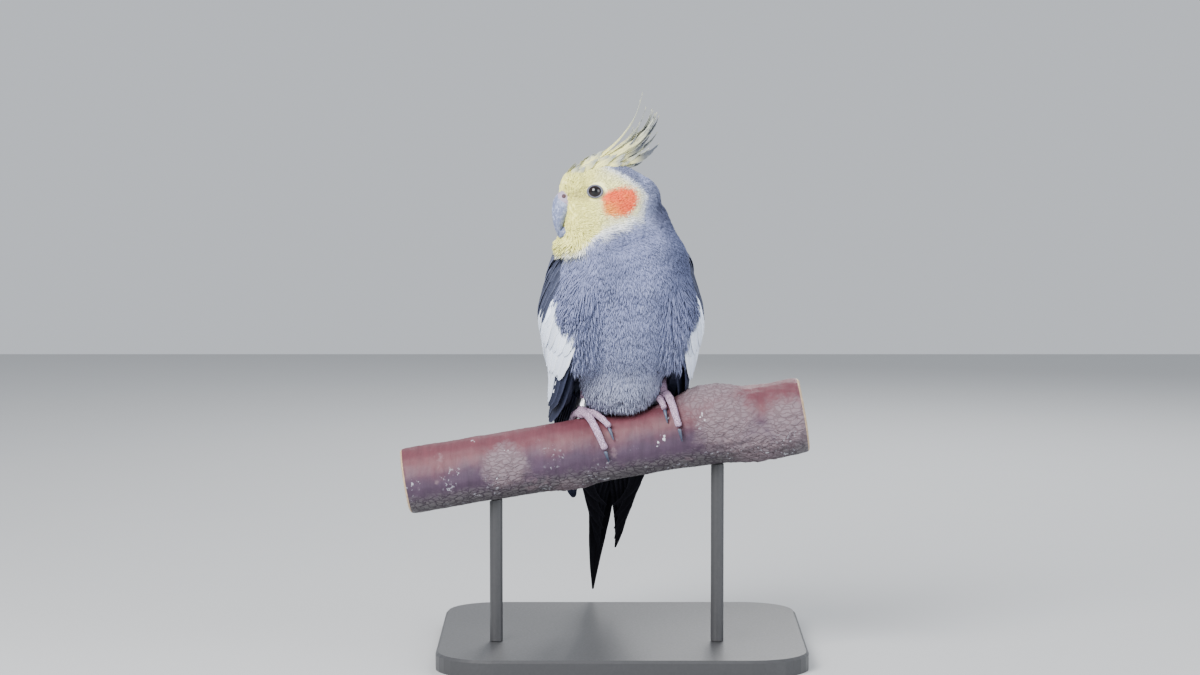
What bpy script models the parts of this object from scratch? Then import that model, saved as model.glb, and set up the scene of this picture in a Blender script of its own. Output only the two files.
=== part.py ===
"""A life-size cockatiel at rest on a cut length of branch, held by a plain display stand.

All sizes are in millimetres. The bird's frame has its origin on top of the branch, under the
belly: +X is the viewer's right, -Y is forwards and +Z is up. Finished meshes are moved by
MODEL_ORIGIN, so that the underside of the stand's base is at Z = 0, and scaled to metres.
"""
import math
import random

import bmesh
import bpy
from mathutils import Matrix, Vector

MM = 0.001
GAP = 0.32
SEED = 11

# The stand, and where the bird's frame sits over it
PERCH_TOP = 115.0
BASE_LENGTH = 170.0
BASE_DEPTH = 164.0
BASE_THICK = 8.0
BASE_CORNER = 26.0
BASE_CHAMFER = 1.2
BIRD_BACK = 30.0
ROD_RADIUS = 3.0
ROD_X = (-58.0, 44.0)
MODEL_ORIGIN = Vector((0.0, -BIRD_BACK, PERCH_TOP))

# The perch: a cut length of branch that climbs to the right
PERCH_RADIUS = 15.5
PERCH_RISE = math.radians(9.6)
PERCH_LEFT = -100.0
PERCH_RIGHT = 84.0
PERCH_SIDES = 18
PERCH_RINGS = 28
# Each knot: place along the branch, angle from the top towards the front, height, spread
KNOTS = (
    (40.0, 22.0, 6.6, 15.0),
    (47.0, 75.0, 3.4, 14.0),
    (62.0, 130.0, 2.4, 13.0),
    (-53.0, 88.0, 1.6, 10.0),
    (-24.0, 170.0, 2.0, 9.0),
    (76.0, 95.0, 2.6, 12.0),
)

# The body is turned a little to the viewer's right, the head well to the left
BODY_YAW = math.radians(8.0)
HEAD_YAW = math.radians(-68.0)
HEAD_CENTRE = Vector((-6.0, -8.0, 95.7))

# Torso sections from the belly up: height, half width, half depth, middle in Y
TORSO = (
    (4.0, 12.5, 16.0, 9.0),
    (9.0, 17.5, 23.0, 9.0),
    (16.0, 21.5, 28.5, 8.0),
    (28.0, 26.0, 33.0, 3.5),
    (42.0, 29.0, 34.5, -1.0),
    (56.0, 31.0, 32.5, -5.0),
    (67.0, 31.0, 29.5, -6.5),
    (74.0, 29.5, 26.8, -6.5),
    (82.0, 26.5, 24.0, -6.5),
)
TORSO_BOTTOM = 1.2
NECK_CUT = 77.0
# Neck sections: height, half width, half depth, middle in X, middle in Y
NECK = (
    (77.0, 28.5, 25.6, 0.0, -6.5),
    (84.0, 24.8, 21.5, 0.3, -5.0),
    (90.0, 22.4, 17.8, 0.8, -3.2),
    (96.0, 19.6, 15.0, 1.0, -2.0),
    (101.0, 15.0, 11.0, 1.0, -2.5),
)
BODY_SIDES = 26
TORSO_RINGS = 13
NECK_RINGS = 8

# Head sections from the back of the head forwards: place, top, bottom, half width
HEAD = (
    (-24.6, 6.5, -4.5, 5.5),
    (-22.0, 10.5, -8.0, 10.0),
    (-17.0, 14.2, -12.0, 14.2),
    (-9.0, 17.4, -16.0, 17.3),
    (0.0, 18.4, -19.0, 17.8),
    (8.0, 17.9, -20.8, 16.6),
    (14.0, 16.2, -22.6, 14.6),
    (19.0, 15.0, -22.4, 12.0),
    (21.6, 12.0, -19.6, 9.0),
    (23.0, 7.6, -14.0, 5.0),
)
HEAD_BACK = -25.8
HEAD_FRONT = 23.6
HEAD_SIDES = 20
HEAD_RINGS = 14

# Eyes in the head's frame: forwards, sideways, up
EYE_PLACE = (12.1, 13.1, 6.4)
EYE_RADIUS = 3.2
LID_OPENING = 2.75
LID_THICK = 0.62
EYE_TURN = math.radians(24.0)

# Bill: forwards, up, half width and half height along its curve
BILL_UPPER = (
    (16.5, 1.0, 4.4, 5.6),
    (20.8, 0.4, 4.7, 5.8),
    (23.0, -2.4, 4.3, 4.6),
    (24.2, -6.2, 3.2, 3.0),
    (24.5, -9.8, 2.0, 1.8),
    (24.0, -13.4, 0.7, 0.8),
)
BILL_LOWER = (
    (16.0, -9.4, 3.4, 3.0),
    (20.6, -12.0, 3.5, 2.8),
    (23.6, -13.4, 2.7, 2.0),
    (24.6, -13.6, 1.5, 1.0),
)
NOSTRIL_PLACE = (23.4, 3.4, 4.0)
NOSTRIL_RADIUS = 0.95

# Crest feathers: count, and the first and last root and tip (forwards, up)
CREST_COUNT = 13
CREST_ROOTS = ((20.4, 11.5), (1.0, 16.0))
CREST_WISPS = ((-15.9, 50.5), (-17.5, 44.0))
CREST_TIPS = ((-24.8, 43.5), (-23.8, 37.5), (-22.8, 28.5), (-15.6, 19.8))
CREST_WIDTH = 2.0
CREST_THICK = 0.6

# Tail: its root in the body's frame, its lean, and each pair's length and place
TAIL_ROOT = Vector((3.0, 28.0, 22.0))
TAIL_LEAN = math.radians(37.0)
TAIL_LENGTHS_FAR = (156.0, 124.0, 117.0, 109.0, 100.0, 91.0)
TAIL_LENGTHS_NEAR = (118.0, 124.0, 117.0, 109.0, 100.0, 91.0)
TAIL_BASE_LENGTH = 52.0
TAIL_HALF_WIDTH = 6.8
TAIL_LAYER = 0.95
VANE_THICK = 0.55
# Block round the upper tail: start and end along it, height over and under its back, half width
TAIL_SLAB = (6.0, 72.0)
TAIL_SLAB_TOP = 1.3
TAIL_SLAB_LOW = -7.2
TAIL_SLAB_HALF = 17.0

# Wing sheet along its middle line: point, outward normal, radius of its curve across,
# and its reach from that line to the front edge and to the back edge
WING = (
    ((24.8, -7.5, 72.0), (0.80, -0.45, 0.40), 26.0, 13.0, 24.0),
    ((30.2, -3.0, 60.0), (0.97, -0.15, 0.20), 31.0, 22.0, 37.0),
    ((35.4, 4.0, 42.0), (1.00, 0.00, 0.05), 35.0, 27.0, 44.0),
    ((29.0, 20.0, 20.0), (0.93, 0.30, 0.20), 32.0, 22.0, 35.0),
    ((25.0, 43.0, -1.0), (0.70, 0.60, 0.38), 28.0, 14.0, 23.0),
    ((19.5, 69.5, -12.5), (0.42, 0.73, 0.53), 34.0, 9.5, 15.0),
    ((14.0, 86.0, -30.5), (0.28, 0.79, 0.55), 60.0, 6.5, 9.0),
    ((9.5, 96.5, -46.0), (0.18, 0.80, 0.57), 60.0, 4.5, 4.5),
)
SHINGLE = math.radians(16.0)
ROOT_DIP = 3.2
PRIMARY_DIP = 1.5
CORE_START = -3.0
CORE_END = 84.0
# Tiers of wing feathers: count, first and last place across, start, end, added length for
# each, height over the sheet, half width and steps along each vane
WING_TIERS = (
    (5, -0.84, 0.26, 12.0, 38.0, 0.0, 3.23, 5.8, 3),
    (4, 0.46, 0.94, 14.0, 56.0, 2.5, 3.34, 6.8, 3),
    (7, -0.90, 0.60, 30.0, 68.0, 0.9, 2.37, 6.2, 3),
    (8, -0.90, 0.92, 48.0, 90.0, 1.8, -0.40, 6.6, 4),
)
PRIMARY_ENDS = (163.0, 168.0, 167.0, 161.0, 153.0, 143.0, 132.0, 121.0)
PRIMARY_START = 72.0
PRIMARY_SHARE = (-0.80, 0.075)
PRIMARY_LIFT = (-9.18, 0.80)
PRIMARY_SHIFT = 0.3
PRIMARY_HALF_WIDTH = 4.8
PRIMARY_STEPS = 5

# Legs and feet: where each foot stands on the branch
FOOT_X = {"right": -15.2, "left": 22.4}
TARSUS_RADIUS = 2.1
RING_HEIGHT = 4.2
RING_RADIUS = 3.3
RING_WIDTH = 3.6
RING_WALL = 0.7
# Each toe: first and last place along the branch from the foot, start and end angle, radius
TOES = {
    "right": (
        (0.5, 7.6, 4.0, 84.0, 1.9),
        (2.0, 11.0, 2.0, 50.0, 1.7),
        (-1.5, -8.4, -4.0, -72.0, 1.9),
        (0.8, 3.5, -6.0, -54.0, 1.6),
    ),
    "left": (
        (1.5, 4.4, 8.0, 70.0, 1.9),
        (-2.4, -0.6, 6.0, 38.0, 1.7),
        (1.5, 3.0, -4.0, -70.0, 1.9),
        (-1.0, -4.0, -6.0, -52.0, 1.6),
    ),
}
CLAW_RADIUS = 1.05
FOOT_RADIUS = 2.9
KNEE_INWARD = 3.0
KNEE_BACK = 5.0
KNEE_HEIGHT = 17.0


# Scene and mesh helpers

def clear_scene():
    """Remove every object that the scene starts with."""
    for obj in list(bpy.data.objects):
        bpy.data.objects.remove(obj, do_unlink=True)


def make_material(name, colour, roughness, metallic=0.0):
    """A Principled material with one colour and finish."""
    material = bpy.data.materials.new(name)
    material.use_nodes = True
    shader = material.node_tree.nodes["Principled BSDF"]
    shader.inputs["Base Color"].default_value = (*colour, 1.0)
    shader.inputs["Roughness"].default_value = roughness
    shader.inputs["Metallic"].default_value = metallic
    material.diffuse_color = (*colour, 1.0)
    return material


def make_object(name, vertices, faces, material=None):
    """A mesh object from points in the bird's frame, in millimetres."""
    mesh = bpy.data.meshes.new(name)
    placed = [(Vector(point) + MODEL_ORIGIN) * MM for point in vertices]
    mesh.from_pydata(placed, [], faces)
    mesh.update()
    bm = bmesh.new()
    bm.from_mesh(mesh)
    bmesh.ops.recalc_face_normals(bm, faces=bm.faces[:])
    if bm.calc_volume(signed=True) < 0.0:
        bmesh.ops.reverse_faces(bm, faces=bm.faces[:])
    bm.to_mesh(mesh)
    bm.free()
    obj = bpy.data.objects.new(name, mesh)
    bpy.context.scene.collection.objects.link(obj)
    if material is not None:
        mesh.materials.append(material)
    return obj


def spline(rows, place):
    """Rows of equal length read at a place between 0 and the last row, on a smooth curve."""
    last = len(rows) - 1
    index = min(max(int(math.floor(place)), 0), last - 1)
    part = place - index
    before = rows[max(index - 1, 0)]
    start = rows[index]
    end = rows[index + 1]
    after = rows[min(index + 2, last)]
    result = []
    for a, b, c, d in zip(before, start, end, after):
        pull_in = 0.5 * (c - a)
        pull_out = 0.5 * (d - b)
        cubic = 2.0 * (b - c) + pull_in + pull_out
        square = 3.0 * (c - b) - 2.0 * pull_in - pull_out
        result.append(((cubic * part + square) * part + pull_in) * part + b)
    return result


def loft(rings, start=None, end=None):
    """Vertices and triangles of a closed tube through rings of equal count."""
    sides = len(rings[0])
    vertices = [point for ring in rings for point in ring]
    faces = []
    for row in range(len(rings) - 1):
        for side in range(sides):
            a = row * sides + side
            b = row * sides + (side + 1) % sides
            faces.append((a, b, b + sides))
            faces.append((a, b + sides, a + sides))
    for ring_index, pole in ((0, start), (len(rings) - 1, end)):
        ring = rings[ring_index]
        if pole is None:
            pole = sum((Vector(point) for point in ring), Vector()) / sides
        vertices.append(pole)
        centre = len(vertices) - 1
        for side in range(sides):
            a = ring_index * sides + side
            b = ring_index * sides + (side + 1) % sides
            faces.append((centre, b, a) if ring_index == 0 else (centre, a, b))
    return vertices, faces


def tube(points, radii, sides, start=None, end=None):
    """A closed tube of varying radius along points, its rings square to the path."""
    rings = []
    side = None
    for index, point in enumerate(points):
        ahead = points[min(index + 1, len(points) - 1)]
        behind = points[max(index - 1, 0)]
        tangent = (ahead - behind).normalized()
        if side is None:
            side = tangent.orthogonal().normalized()
        side = (side - tangent * side.dot(tangent)).normalized()
        other = tangent.cross(side)
        ring = []
        for step in range(sides):
            angle = 2.0 * math.pi * step / sides
            ring.append(point + (side * math.cos(angle) + other * math.sin(angle)) * radii[index])
        rings.append(ring)
    return loft(rings, start, end)


def ball(centre, radius, rings=10, sides=16, axis=Vector((0.0, 0.0, 1.0))):
    """A closed ball whose poles lie on an axis."""
    turn = Vector((0.0, 0.0, 1.0)).rotation_difference(axis.normalized()).to_matrix()
    rows = []
    for row in range(1, rings):
        polar = math.pi * row / rings
        ring = []
        for step in range(sides):
            angle = 2.0 * math.pi * step / sides
            flat = Vector((math.cos(angle), math.sin(angle), 0.0)) * math.sin(polar)
            ring.append(centre + turn @ (flat + Vector((0.0, 0.0, math.cos(polar)))) * radius)
        rows.append(ring)
    top = centre + turn @ Vector((0.0, 0.0, radius))
    bottom = centre - turn @ Vector((0.0, 0.0, radius))
    return loft(rows, top, bottom)


def vane(points, normals, half_widths, thick):
    """A flat closed blade along points, split into triangles alike on both faces."""
    rows = []
    for index, point in enumerate(points):
        ahead = points[min(index + 1, len(points) - 1)]
        behind = points[max(index - 1, 0)]
        tangent = (ahead - behind).normalized()
        normal = (normals[index] - tangent * normals[index].dot(tangent)).normalized()
        across = tangent.cross(normal) * half_widths[index]
        rise = normal * (0.5 * thick)
        rows.append((point - across + rise, point + across + rise,
                     point + across - rise, point - across - rise))
    vertices = [corner for row in rows for corner in row]
    faces = []
    for row in range(len(rows) - 1):
        a = row * 4
        b = a + 4
        faces.append((a, a + 1, b + 1))
        faces.append((a, b + 1, b))
        faces.append((a + 3, b + 2, a + 2))
        faces.append((a + 3, b + 3, b + 2))
        faces.append((a + 1, a + 2, b + 2))
        faces.append((a + 1, b + 2, b + 1))
        faces.append((a + 3, a, b))
        faces.append((a + 3, b, b + 3))
    last = 4 * (len(rows) - 1)
    faces.append((0, 3, 2))
    faces.append((0, 2, 1))
    faces.append((last, last + 1, last + 2))
    faces.append((last, last + 2, last + 3))
    return vertices, faces


def largest_surface(mesh):
    """Keep only the connected surface that holds the most volume."""
    bm = bmesh.new()
    bm.from_mesh(mesh)
    unseen = set(bm.faces)
    shells = []
    while unseen:
        stack = [unseen.pop()]
        shell = set(stack)
        while stack:
            face = stack.pop()
            for edge in face.edges:
                for neighbour in edge.link_faces:
                    if neighbour in unseen:
                        unseen.discard(neighbour)
                        shell.add(neighbour)
                        stack.append(neighbour)
        shells.append(shell)
    spans = []
    for shell in shells:
        points = [vertex.co for face in shell for vertex in face.verts]
        size = 1.0
        for axis in range(3):
            values = [point[axis] for point in points]
            size *= max(values) - min(values) + MM
        spans.append(size)
    keep = shells[spans.index(max(spans))]
    drop = [face for face in bm.faces if face not in keep]
    bmesh.ops.delete(bm, geom=drop, context="FACES")
    loose = [vertex for vertex in bm.verts if not vertex.link_faces]
    bmesh.ops.delete(bm, geom=loose, context="VERTS")
    bmesh.ops.triangulate(bm, faces=bm.faces[:])
    bm.to_mesh(mesh)
    bm.free()


def combine(obj, others, operation, solver="EXACT"):
    """Apply one Boolean between an object and a collection of closed pieces.

    EXACT leaves open edges where many thin vanes meet, so those nodes ask for MANIFOLD.
    """
    group = bpy.data.collections.new("pieces")
    bpy.context.scene.collection.children.link(group)
    for other in others:
        bpy.context.scene.collection.objects.unlink(other)
        group.objects.link(other)
    modifier = obj.modifiers.new("join", "BOOLEAN")
    modifier.operation = operation
    modifier.operand_type = "COLLECTION"
    modifier.collection = group
    modifier.solver = solver
    if solver == "EXACT":
        modifier.use_self = False
    graph = bpy.context.evaluated_depsgraph_get()
    result = bpy.data.meshes.new_from_object(obj.evaluated_get(graph))
    obj.modifiers.clear()
    obj.data = result
    obj.data.name = obj.name
    for other in list(group.objects):
        bpy.data.objects.remove(other, do_unlink=True)
    bpy.data.collections.remove(group)
    largest_surface(obj.data)
    return obj


def finish_mesh(obj, material, smooth_angle=40.0):
    """Give a finished node its material and smooth shading up to an angle."""
    obj.data.materials.clear()
    obj.data.materials.append(material)
    obj.data.shade_smooth()
    obj.data.set_sharp_from_angle(angle=math.radians(smooth_angle))


def turned(point, yaw):
    """A point turned about the vertical through the bird's origin."""
    return Matrix.Rotation(yaw, 3, "Z") @ Vector(point)


def head_point(forward, side, up):
    """A point given in the head's frame: forwards, to the bird's left, and up."""
    ahead = turned((0.0, -1.0, 0.0), HEAD_YAW)
    left = turned((1.0, 0.0, 0.0), HEAD_YAW)
    return HEAD_CENTRE + ahead * forward + left * side + Vector((0.0, 0.0, up))


def head_direction(forward, side, up):
    """A direction given in the head's frame."""
    return head_point(forward, side, up) - HEAD_CENTRE


# Perch and stand

def perch_centre(x):
    """A point on the branch's middle line, at a place along X."""
    lean = math.tan(PERCH_RISE)
    return Vector((x, 0.0, -PERCH_RADIUS / math.cos(PERCH_RISE) + x * lean))


def perch_radius(x, angle, grow=0.0):
    """The branch's radius at a place along X and an angle from the top to the front."""
    radius = PERCH_RADIUS + grow
    if x > 30.0:
        radius += 2.0 * min((x - 30.0) / 45.0, 1.0)
    for place, where, height, spread in KNOTS:
        turn = math.atan2(math.sin(angle - math.radians(where)),
                          math.cos(angle - math.radians(where)))
        away = math.hypot(x - place, turn * PERCH_RADIUS)
        radius += height * math.exp(-(away / spread) ** 2)
    return radius


def perch_point(x, angle, radius):
    """A point off the branch's middle line, angle measured from the top to the front."""
    up = Vector((-math.sin(PERCH_RISE), 0.0, math.cos(PERCH_RISE)))
    front = Vector((0.0, -1.0, 0.0))
    return perch_centre(x) + (up * math.cos(angle) + front * math.sin(angle)) * radius


def build_perch(material, name="perch", grow=0.0):
    """The cut branch with its knots, or a slightly larger copy used as a cutter."""
    rings = []
    for row in range(PERCH_RINGS + 1):
        x = PERCH_LEFT + (PERCH_RIGHT - PERCH_LEFT) * row / PERCH_RINGS
        ring = []
        for step in range(PERCH_SIDES):
            angle = 2.0 * math.pi * step / PERCH_SIDES
            ring.append(perch_point(x, angle, perch_radius(x, angle, grow)))
        rings.append(ring)
    vertices, faces = loft(rings)
    return make_object(name, vertices, faces, material)


def build_base(material):
    """A flat base plate with round corners and a chamfered top edge."""
    half_x = BASE_LENGTH / 2.0
    half_y = BASE_DEPTH / 2.0
    steps = 8
    rings = []
    for height, inset in ((0.0, 0.0), (BASE_THICK - BASE_CHAMFER, 0.0), (BASE_THICK, BASE_CHAMFER)):
        ring = []
        for corner, (sign_x, sign_y) in enumerate(((1, 1), (-1, 1), (-1, -1), (1, -1))):
            for step in range(steps + 1):
                angle = math.radians(90.0 * corner + 90.0 * step / steps)
                radius = BASE_CORNER - inset
                x = sign_x * (half_x - BASE_CORNER) + radius * math.cos(angle)
                y = sign_y * (half_y - BASE_CORNER) + radius * math.sin(angle)
                ring.append(Vector((x, y + BIRD_BACK, height - PERCH_TOP)))
        rings.append(ring)
    vertices, faces = loft(rings)
    obj = make_object("stand_base", vertices, faces)
    finish_mesh(obj, material, 30.0)
    return obj


def build_rods(material):
    """Two upright rods from the base to the underside of the branch."""
    low = BASE_THICK - PERCH_TOP + GAP
    for name, x in zip(("stand_rod_left", "stand_rod_right"), ROD_X):
        top = perch_centre(x).z
        points = [Vector((x, 0.0, low)), Vector((x, 0.0, top))]
        vertices, faces = tube(points, (ROD_RADIUS, ROD_RADIUS), 20)
        rod = make_object(name, vertices, faces)
        cutter = build_perch(None, "rod_cut", GAP)
        combine(rod, [cutter], "DIFFERENCE")
        finish_mesh(rod, material)


# Torso and neck

def torso_section(height, grow=0.0):
    """Half width, half depth and middle of the torso at a height."""
    rows = [(row[0], row[1] + grow, row[2] + grow, row[3]) for row in TORSO]
    low = 0
    while low < len(rows) - 2 and height > rows[low + 1][0]:
        low += 1
    span = rows[low + 1][0] - rows[low][0]
    place = low + (height - rows[low][0]) / span
    return spline(rows, place)[1:]


def build_torso(material, name="torso", grow=0.0):
    """The torso up to the neck cut, or a slightly larger copy used as a cutter."""
    top = NECK_CUT - GAP / 2.0 if grow == 0.0 else 81.0
    span = top - TORSO[0][0]
    heights = [TORSO[0][0] + span * step / TORSO_RINGS for step in range(TORSO_RINGS + 1)]
    rings = []
    for height in heights:
        half_x, half_y, middle = torso_section(height, grow)
        ring = []
        for step in range(BODY_SIDES):
            angle = 2.0 * math.pi * step / BODY_SIDES
            point = (half_x * math.cos(angle), middle + half_y * math.sin(angle), height)
            ring.append(turned(point, BODY_YAW))
        rings.append(ring)
    pole = turned((0.0, TORSO[0][3], TORSO_BOTTOM - grow), BODY_YAW)
    vertices, faces = loft(rings, start=pole)
    return make_object(name, vertices, faces, material)


def build_neck(material):
    """The neck from the torso's cut up to the head, hollowed to meet the head."""
    rows = [(NECK_CUT + GAP / 2.0, *NECK[0][1:])] + list(NECK[1:])
    rings = []
    steps = NECK_RINGS
    for row in range(steps + 1):
        height, half_x, half_y, middle_x, middle_y = spline(rows, (len(rows) - 1) * row / steps)
        ring = []
        for step in range(BODY_SIDES):
            angle = 2.0 * math.pi * step / BODY_SIDES
            point = (middle_x + half_x * math.cos(angle), middle_y + half_y * math.sin(angle), height)
            ring.append(turned(point, BODY_YAW))
        rings.append(ring)
    vertices, faces = loft(rings)
    neck = make_object("neck", vertices, faces)
    combine(neck, [build_skull("neck_cut", GAP)], "DIFFERENCE")
    finish_mesh(neck, material)
    return neck


# Head, eyes and bill

def build_skull(name, grow=0.0):
    """The plain form of the head, or a slightly larger copy used as a cutter."""
    rings = []
    rows = [(row[0], row[1] + grow, row[2] - grow, row[3] + grow) for row in HEAD]
    steps = HEAD_RINGS
    for row in range(steps + 1):
        forward, top, bottom, half = spline(rows, (len(rows) - 1) * row / steps)
        middle = (top + bottom) / 2.0
        reach = (top - bottom) / 2.0
        ring = []
        for step in range(HEAD_SIDES):
            angle = 2.0 * math.pi * step / HEAD_SIDES
            cosine = math.cos(angle)
            sine = math.sin(angle)
            side = half * math.copysign(abs(cosine) ** 0.92, cosine)
            up = middle + reach * math.copysign(abs(sine) ** 0.92, sine)
            ring.append(head_point(forward, side, up))
        rings.append(ring)
    back = head_point(HEAD_BACK - grow, 0.0, 1.0)
    front = head_point(HEAD_FRONT + grow, 0.0, -4.0)
    vertices, faces = loft(rings, back, front)
    return make_object(name, vertices, faces)


def bezier(points, place):
    """A point on a cubic curve."""
    rest = 1.0 - place
    return (points[0] * rest ** 3 + points[1] * 3.0 * rest * rest * place
            + points[2] * 3.0 * rest * place * place + points[3] * place ** 3)


def crest_feathers():
    """The crest's vanes, from the longest wisps in front to the short rear tuft."""
    draw = random.Random(SEED)
    tips = list(CREST_WISPS) + list(CREST_TIPS)
    pieces = []
    for index in range(CREST_COUNT):
        share = index / (CREST_COUNT - 1)
        root_forward = CREST_ROOTS[0][0] + (CREST_ROOTS[1][0] - CREST_ROOTS[0][0]) * share
        root_up = CREST_ROOTS[0][1] + (CREST_ROOTS[1][1] - CREST_ROOTS[0][1]) * share
        place = share * (len(tips) - 1)
        tip_forward, tip_up = spline(tips, place)
        tip_forward += draw.uniform(-1.5, 1.5)
        tip_up += draw.uniform(-1.2, 1.2)
        side = (-1) ** index * (1.7 + 1.0 * draw.random())
        root = Vector((root_forward, side, root_up))
        tip = Vector((tip_forward, side * 0.9, tip_up))
        reach = (tip - root).length
        climb = math.radians(57.0 - 40.0 * share)
        curl = math.radians(72.0 - 40.0 * share)
        first = root + Vector((-math.cos(climb), 0.0, math.sin(climb))) * (0.38 * reach)
        last = tip - Vector((-math.cos(curl), 0.0, math.sin(curl))) * (0.30 * reach)
        curve = (root, first, last, tip)
        steps = 5
        points = []
        widths = []
        for step in range(steps + 1):
            along = step / steps
            local = bezier(curve, along)
            points.append(head_point(*local))
            widths.append(max(CREST_WIDTH * (1.0 - along ** 2.2), 0.25))
        normal = head_direction(0.3, 0.7 * (1 if side > 0 else -1), 0.6)
        normals = [normal] * len(points)
        vertices, faces = vane(points, normals, widths, CREST_THICK)
        pieces.append(make_object("crest_piece", vertices, faces))
    return pieces


def eye_frame(sign):
    """Centre and outward direction of one eye; sign is 1 for the bird's left."""
    forward, side, up = EYE_PLACE
    outward = head_direction(math.sin(EYE_TURN), sign * math.cos(EYE_TURN), 0.08).normalized()
    return head_point(forward, sign * side, up), outward


def lid_ring(centre, outward):
    """The ring of both lids round an eye."""
    depth = math.sqrt(EYE_RADIUS ** 2 - LID_OPENING ** 2)
    middle = centre + outward * (depth - 0.1)
    side = outward.orthogonal().normalized()
    other = outward.cross(side)
    around = 16
    small = 6
    vertices = []
    faces = []
    for step in range(around):
        angle = 2.0 * math.pi * step / around
        spoke = side * math.cos(angle) + other * math.sin(angle)
        for turn in range(small):
            tilt = 2.0 * math.pi * turn / small
            radius = LID_OPENING + LID_THICK + LID_THICK * math.cos(tilt)
            vertices.append(middle + spoke * radius + outward * (LID_THICK * 1.2 * math.sin(tilt)))
            a = step * small + turn
            b = step * small + (turn + 1) % small
            c = ((step + 1) % around) * small + (turn + 1) % small
            d = ((step + 1) % around) * small + turn
            faces.append((a, d, c))
            faces.append((a, c, b))
    return vertices, faces


def build_head(material, eye_material):
    """The head with its crest and lids, and the two eyes in their sockets."""
    head = build_skull("head")
    pieces = crest_feathers()
    sockets = []
    for name, sign in (("eye_left", 1), ("eye_right", -1)):
        centre, outward = eye_frame(sign)
        pieces.append(make_object("lid_piece", *lid_ring(centre, outward)))
        sockets.append(make_object("socket", *ball(centre, EYE_RADIUS + GAP, 8, 16, outward)))
        eye = make_object(name, *ball(centre, EYE_RADIUS, 8, 16, outward))
        finish_mesh(eye, eye_material)
    combine(head, pieces, "UNION", "MANIFOLD")
    combine(head, sockets, "DIFFERENCE", "MANIFOLD")
    finish_mesh(head, material)
    return head


def bill_tube(rows, steps):
    """A bill half as a closed form through its sections."""
    rings = []
    count = len(rows) - 1
    for step in range(steps + 1):
        place = count * step / steps
        forward, up, half_x, half_z = spline(rows, place)
        ahead = spline(rows, min(place + 0.05, count))
        behind = spline(rows, max(place - 0.05, 0.0))
        along = Vector((ahead[0] - behind[0], 0.0, ahead[1] - behind[1])).normalized()
        normal = Vector((-along.z, 0.0, along.x))
        ring = []
        for turn in range(12):
            angle = 2.0 * math.pi * turn / 12
            local = (Vector((forward, 0.0, up)) + Vector((0.0, half_x * math.cos(angle), 0.0))
                     + normal * (half_z * math.sin(angle)))
            ring.append(head_point(*local))
        rings.append(ring)
    return loft(rings)


def build_bill(material_upper, material_lower):
    """The hooked upper bill with its nostrils, and the short lower bill behind it."""
    upper = make_object("bill_upper", *bill_tube(BILL_UPPER, 10))
    cuts = [build_skull("bill_cut", GAP)]
    for sign in (1, -1):
        place = head_point(NOSTRIL_PLACE[0], sign * NOSTRIL_PLACE[1], NOSTRIL_PLACE[2])
        cuts.append(make_object("nostril", *ball(place, NOSTRIL_RADIUS, 6, 10)))
    combine(upper, cuts, "DIFFERENCE")
    finish_mesh(upper, material_upper)
    lower = make_object("bill_lower", *bill_tube(BILL_LOWER, 6))
    grown = [(row[0], row[1], row[2] + GAP, row[3] + GAP) for row in BILL_UPPER]
    cuts = [build_skull("bill_cut", GAP), make_object("upper_cut", *bill_tube(grown, 10))]
    combine(lower, cuts, "DIFFERENCE")
    finish_mesh(lower, material_lower)


# Wings

def wing_lengths():
    """Distance along the wing's middle line at each of its sections."""
    lengths = [0.0]
    for before, after in zip(WING, WING[1:]):
        lengths.append(lengths[-1] + (Vector(after[0]) - Vector(before[0])).length)
    return lengths


WING_ALONG = wing_lengths()


def wing_rows(distance):
    """Point, normal, radius, front reach and back reach of the wing's sheet along it."""
    index = 0
    while index < len(WING) - 2 and distance > WING_ALONG[index + 1]:
        index += 1
    span = WING_ALONG[index + 1] - WING_ALONG[index]
    place = index + (distance - WING_ALONG[index]) / span
    flat = [(*row[0], *row[1], *row[2:]) for row in WING]
    values = spline(flat, place)
    return Vector(values[0:3]), Vector(values[3:6]), values[6], values[7], values[8]


def wing_point(sign, distance, share, lift, shift=0.0):
    """A point, normal and backward direction on the sheet; share is -1 in front, 1 behind."""
    point, normal, radius, front, back = wing_rows(distance)
    ahead = wing_rows(distance + 1.0)[0]
    behind = wing_rows(distance - 1.0)[0]
    along = (ahead - behind).normalized()
    normal = (normal - along * normal.dot(along)).normalized()
    side = normal.cross(along)
    across = share * (front if share < 0.0 else back) + shift
    angle = across / radius
    local_normal = normal * math.cos(angle) + side * math.sin(angle)
    middle = point - normal * radius
    place = middle + local_normal * (radius + lift)
    local_side = local_normal.cross(along)
    result = []
    for value in (place, local_normal, local_side):
        result.append(turned((sign * value.x, value.y, value.z), BODY_YAW))
    return result


def wing_vane(sign, start, end, share, lift, half_width, steps, deep, shift=0.0):
    """One wing feather on the sheet, its root dipping into the wing's core."""
    points = []
    normals = []
    widths = []
    for step in range(steps + 1):
        along = step / steps
        distance = start + (end - start) * along
        dip = deep * max(1.0 - along / 0.3, 0.0) ** 1.5
        place, normal, side = wing_point(sign, distance, share, lift - dip, shift * along)
        tilted = normal * math.cos(SHINGLE) + side * math.sin(SHINGLE)
        points.append(place)
        normals.append(tilted)
        shape = min(1.0, 0.62 + 1.3 * along) * (1.0 - max(along - 0.62, 0.0) ** 1.7 * 4.4)
        widths.append(max(half_width * shape, 0.5))
    return make_object("feather", *vane(points, normals, widths, VANE_THICK))


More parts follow.
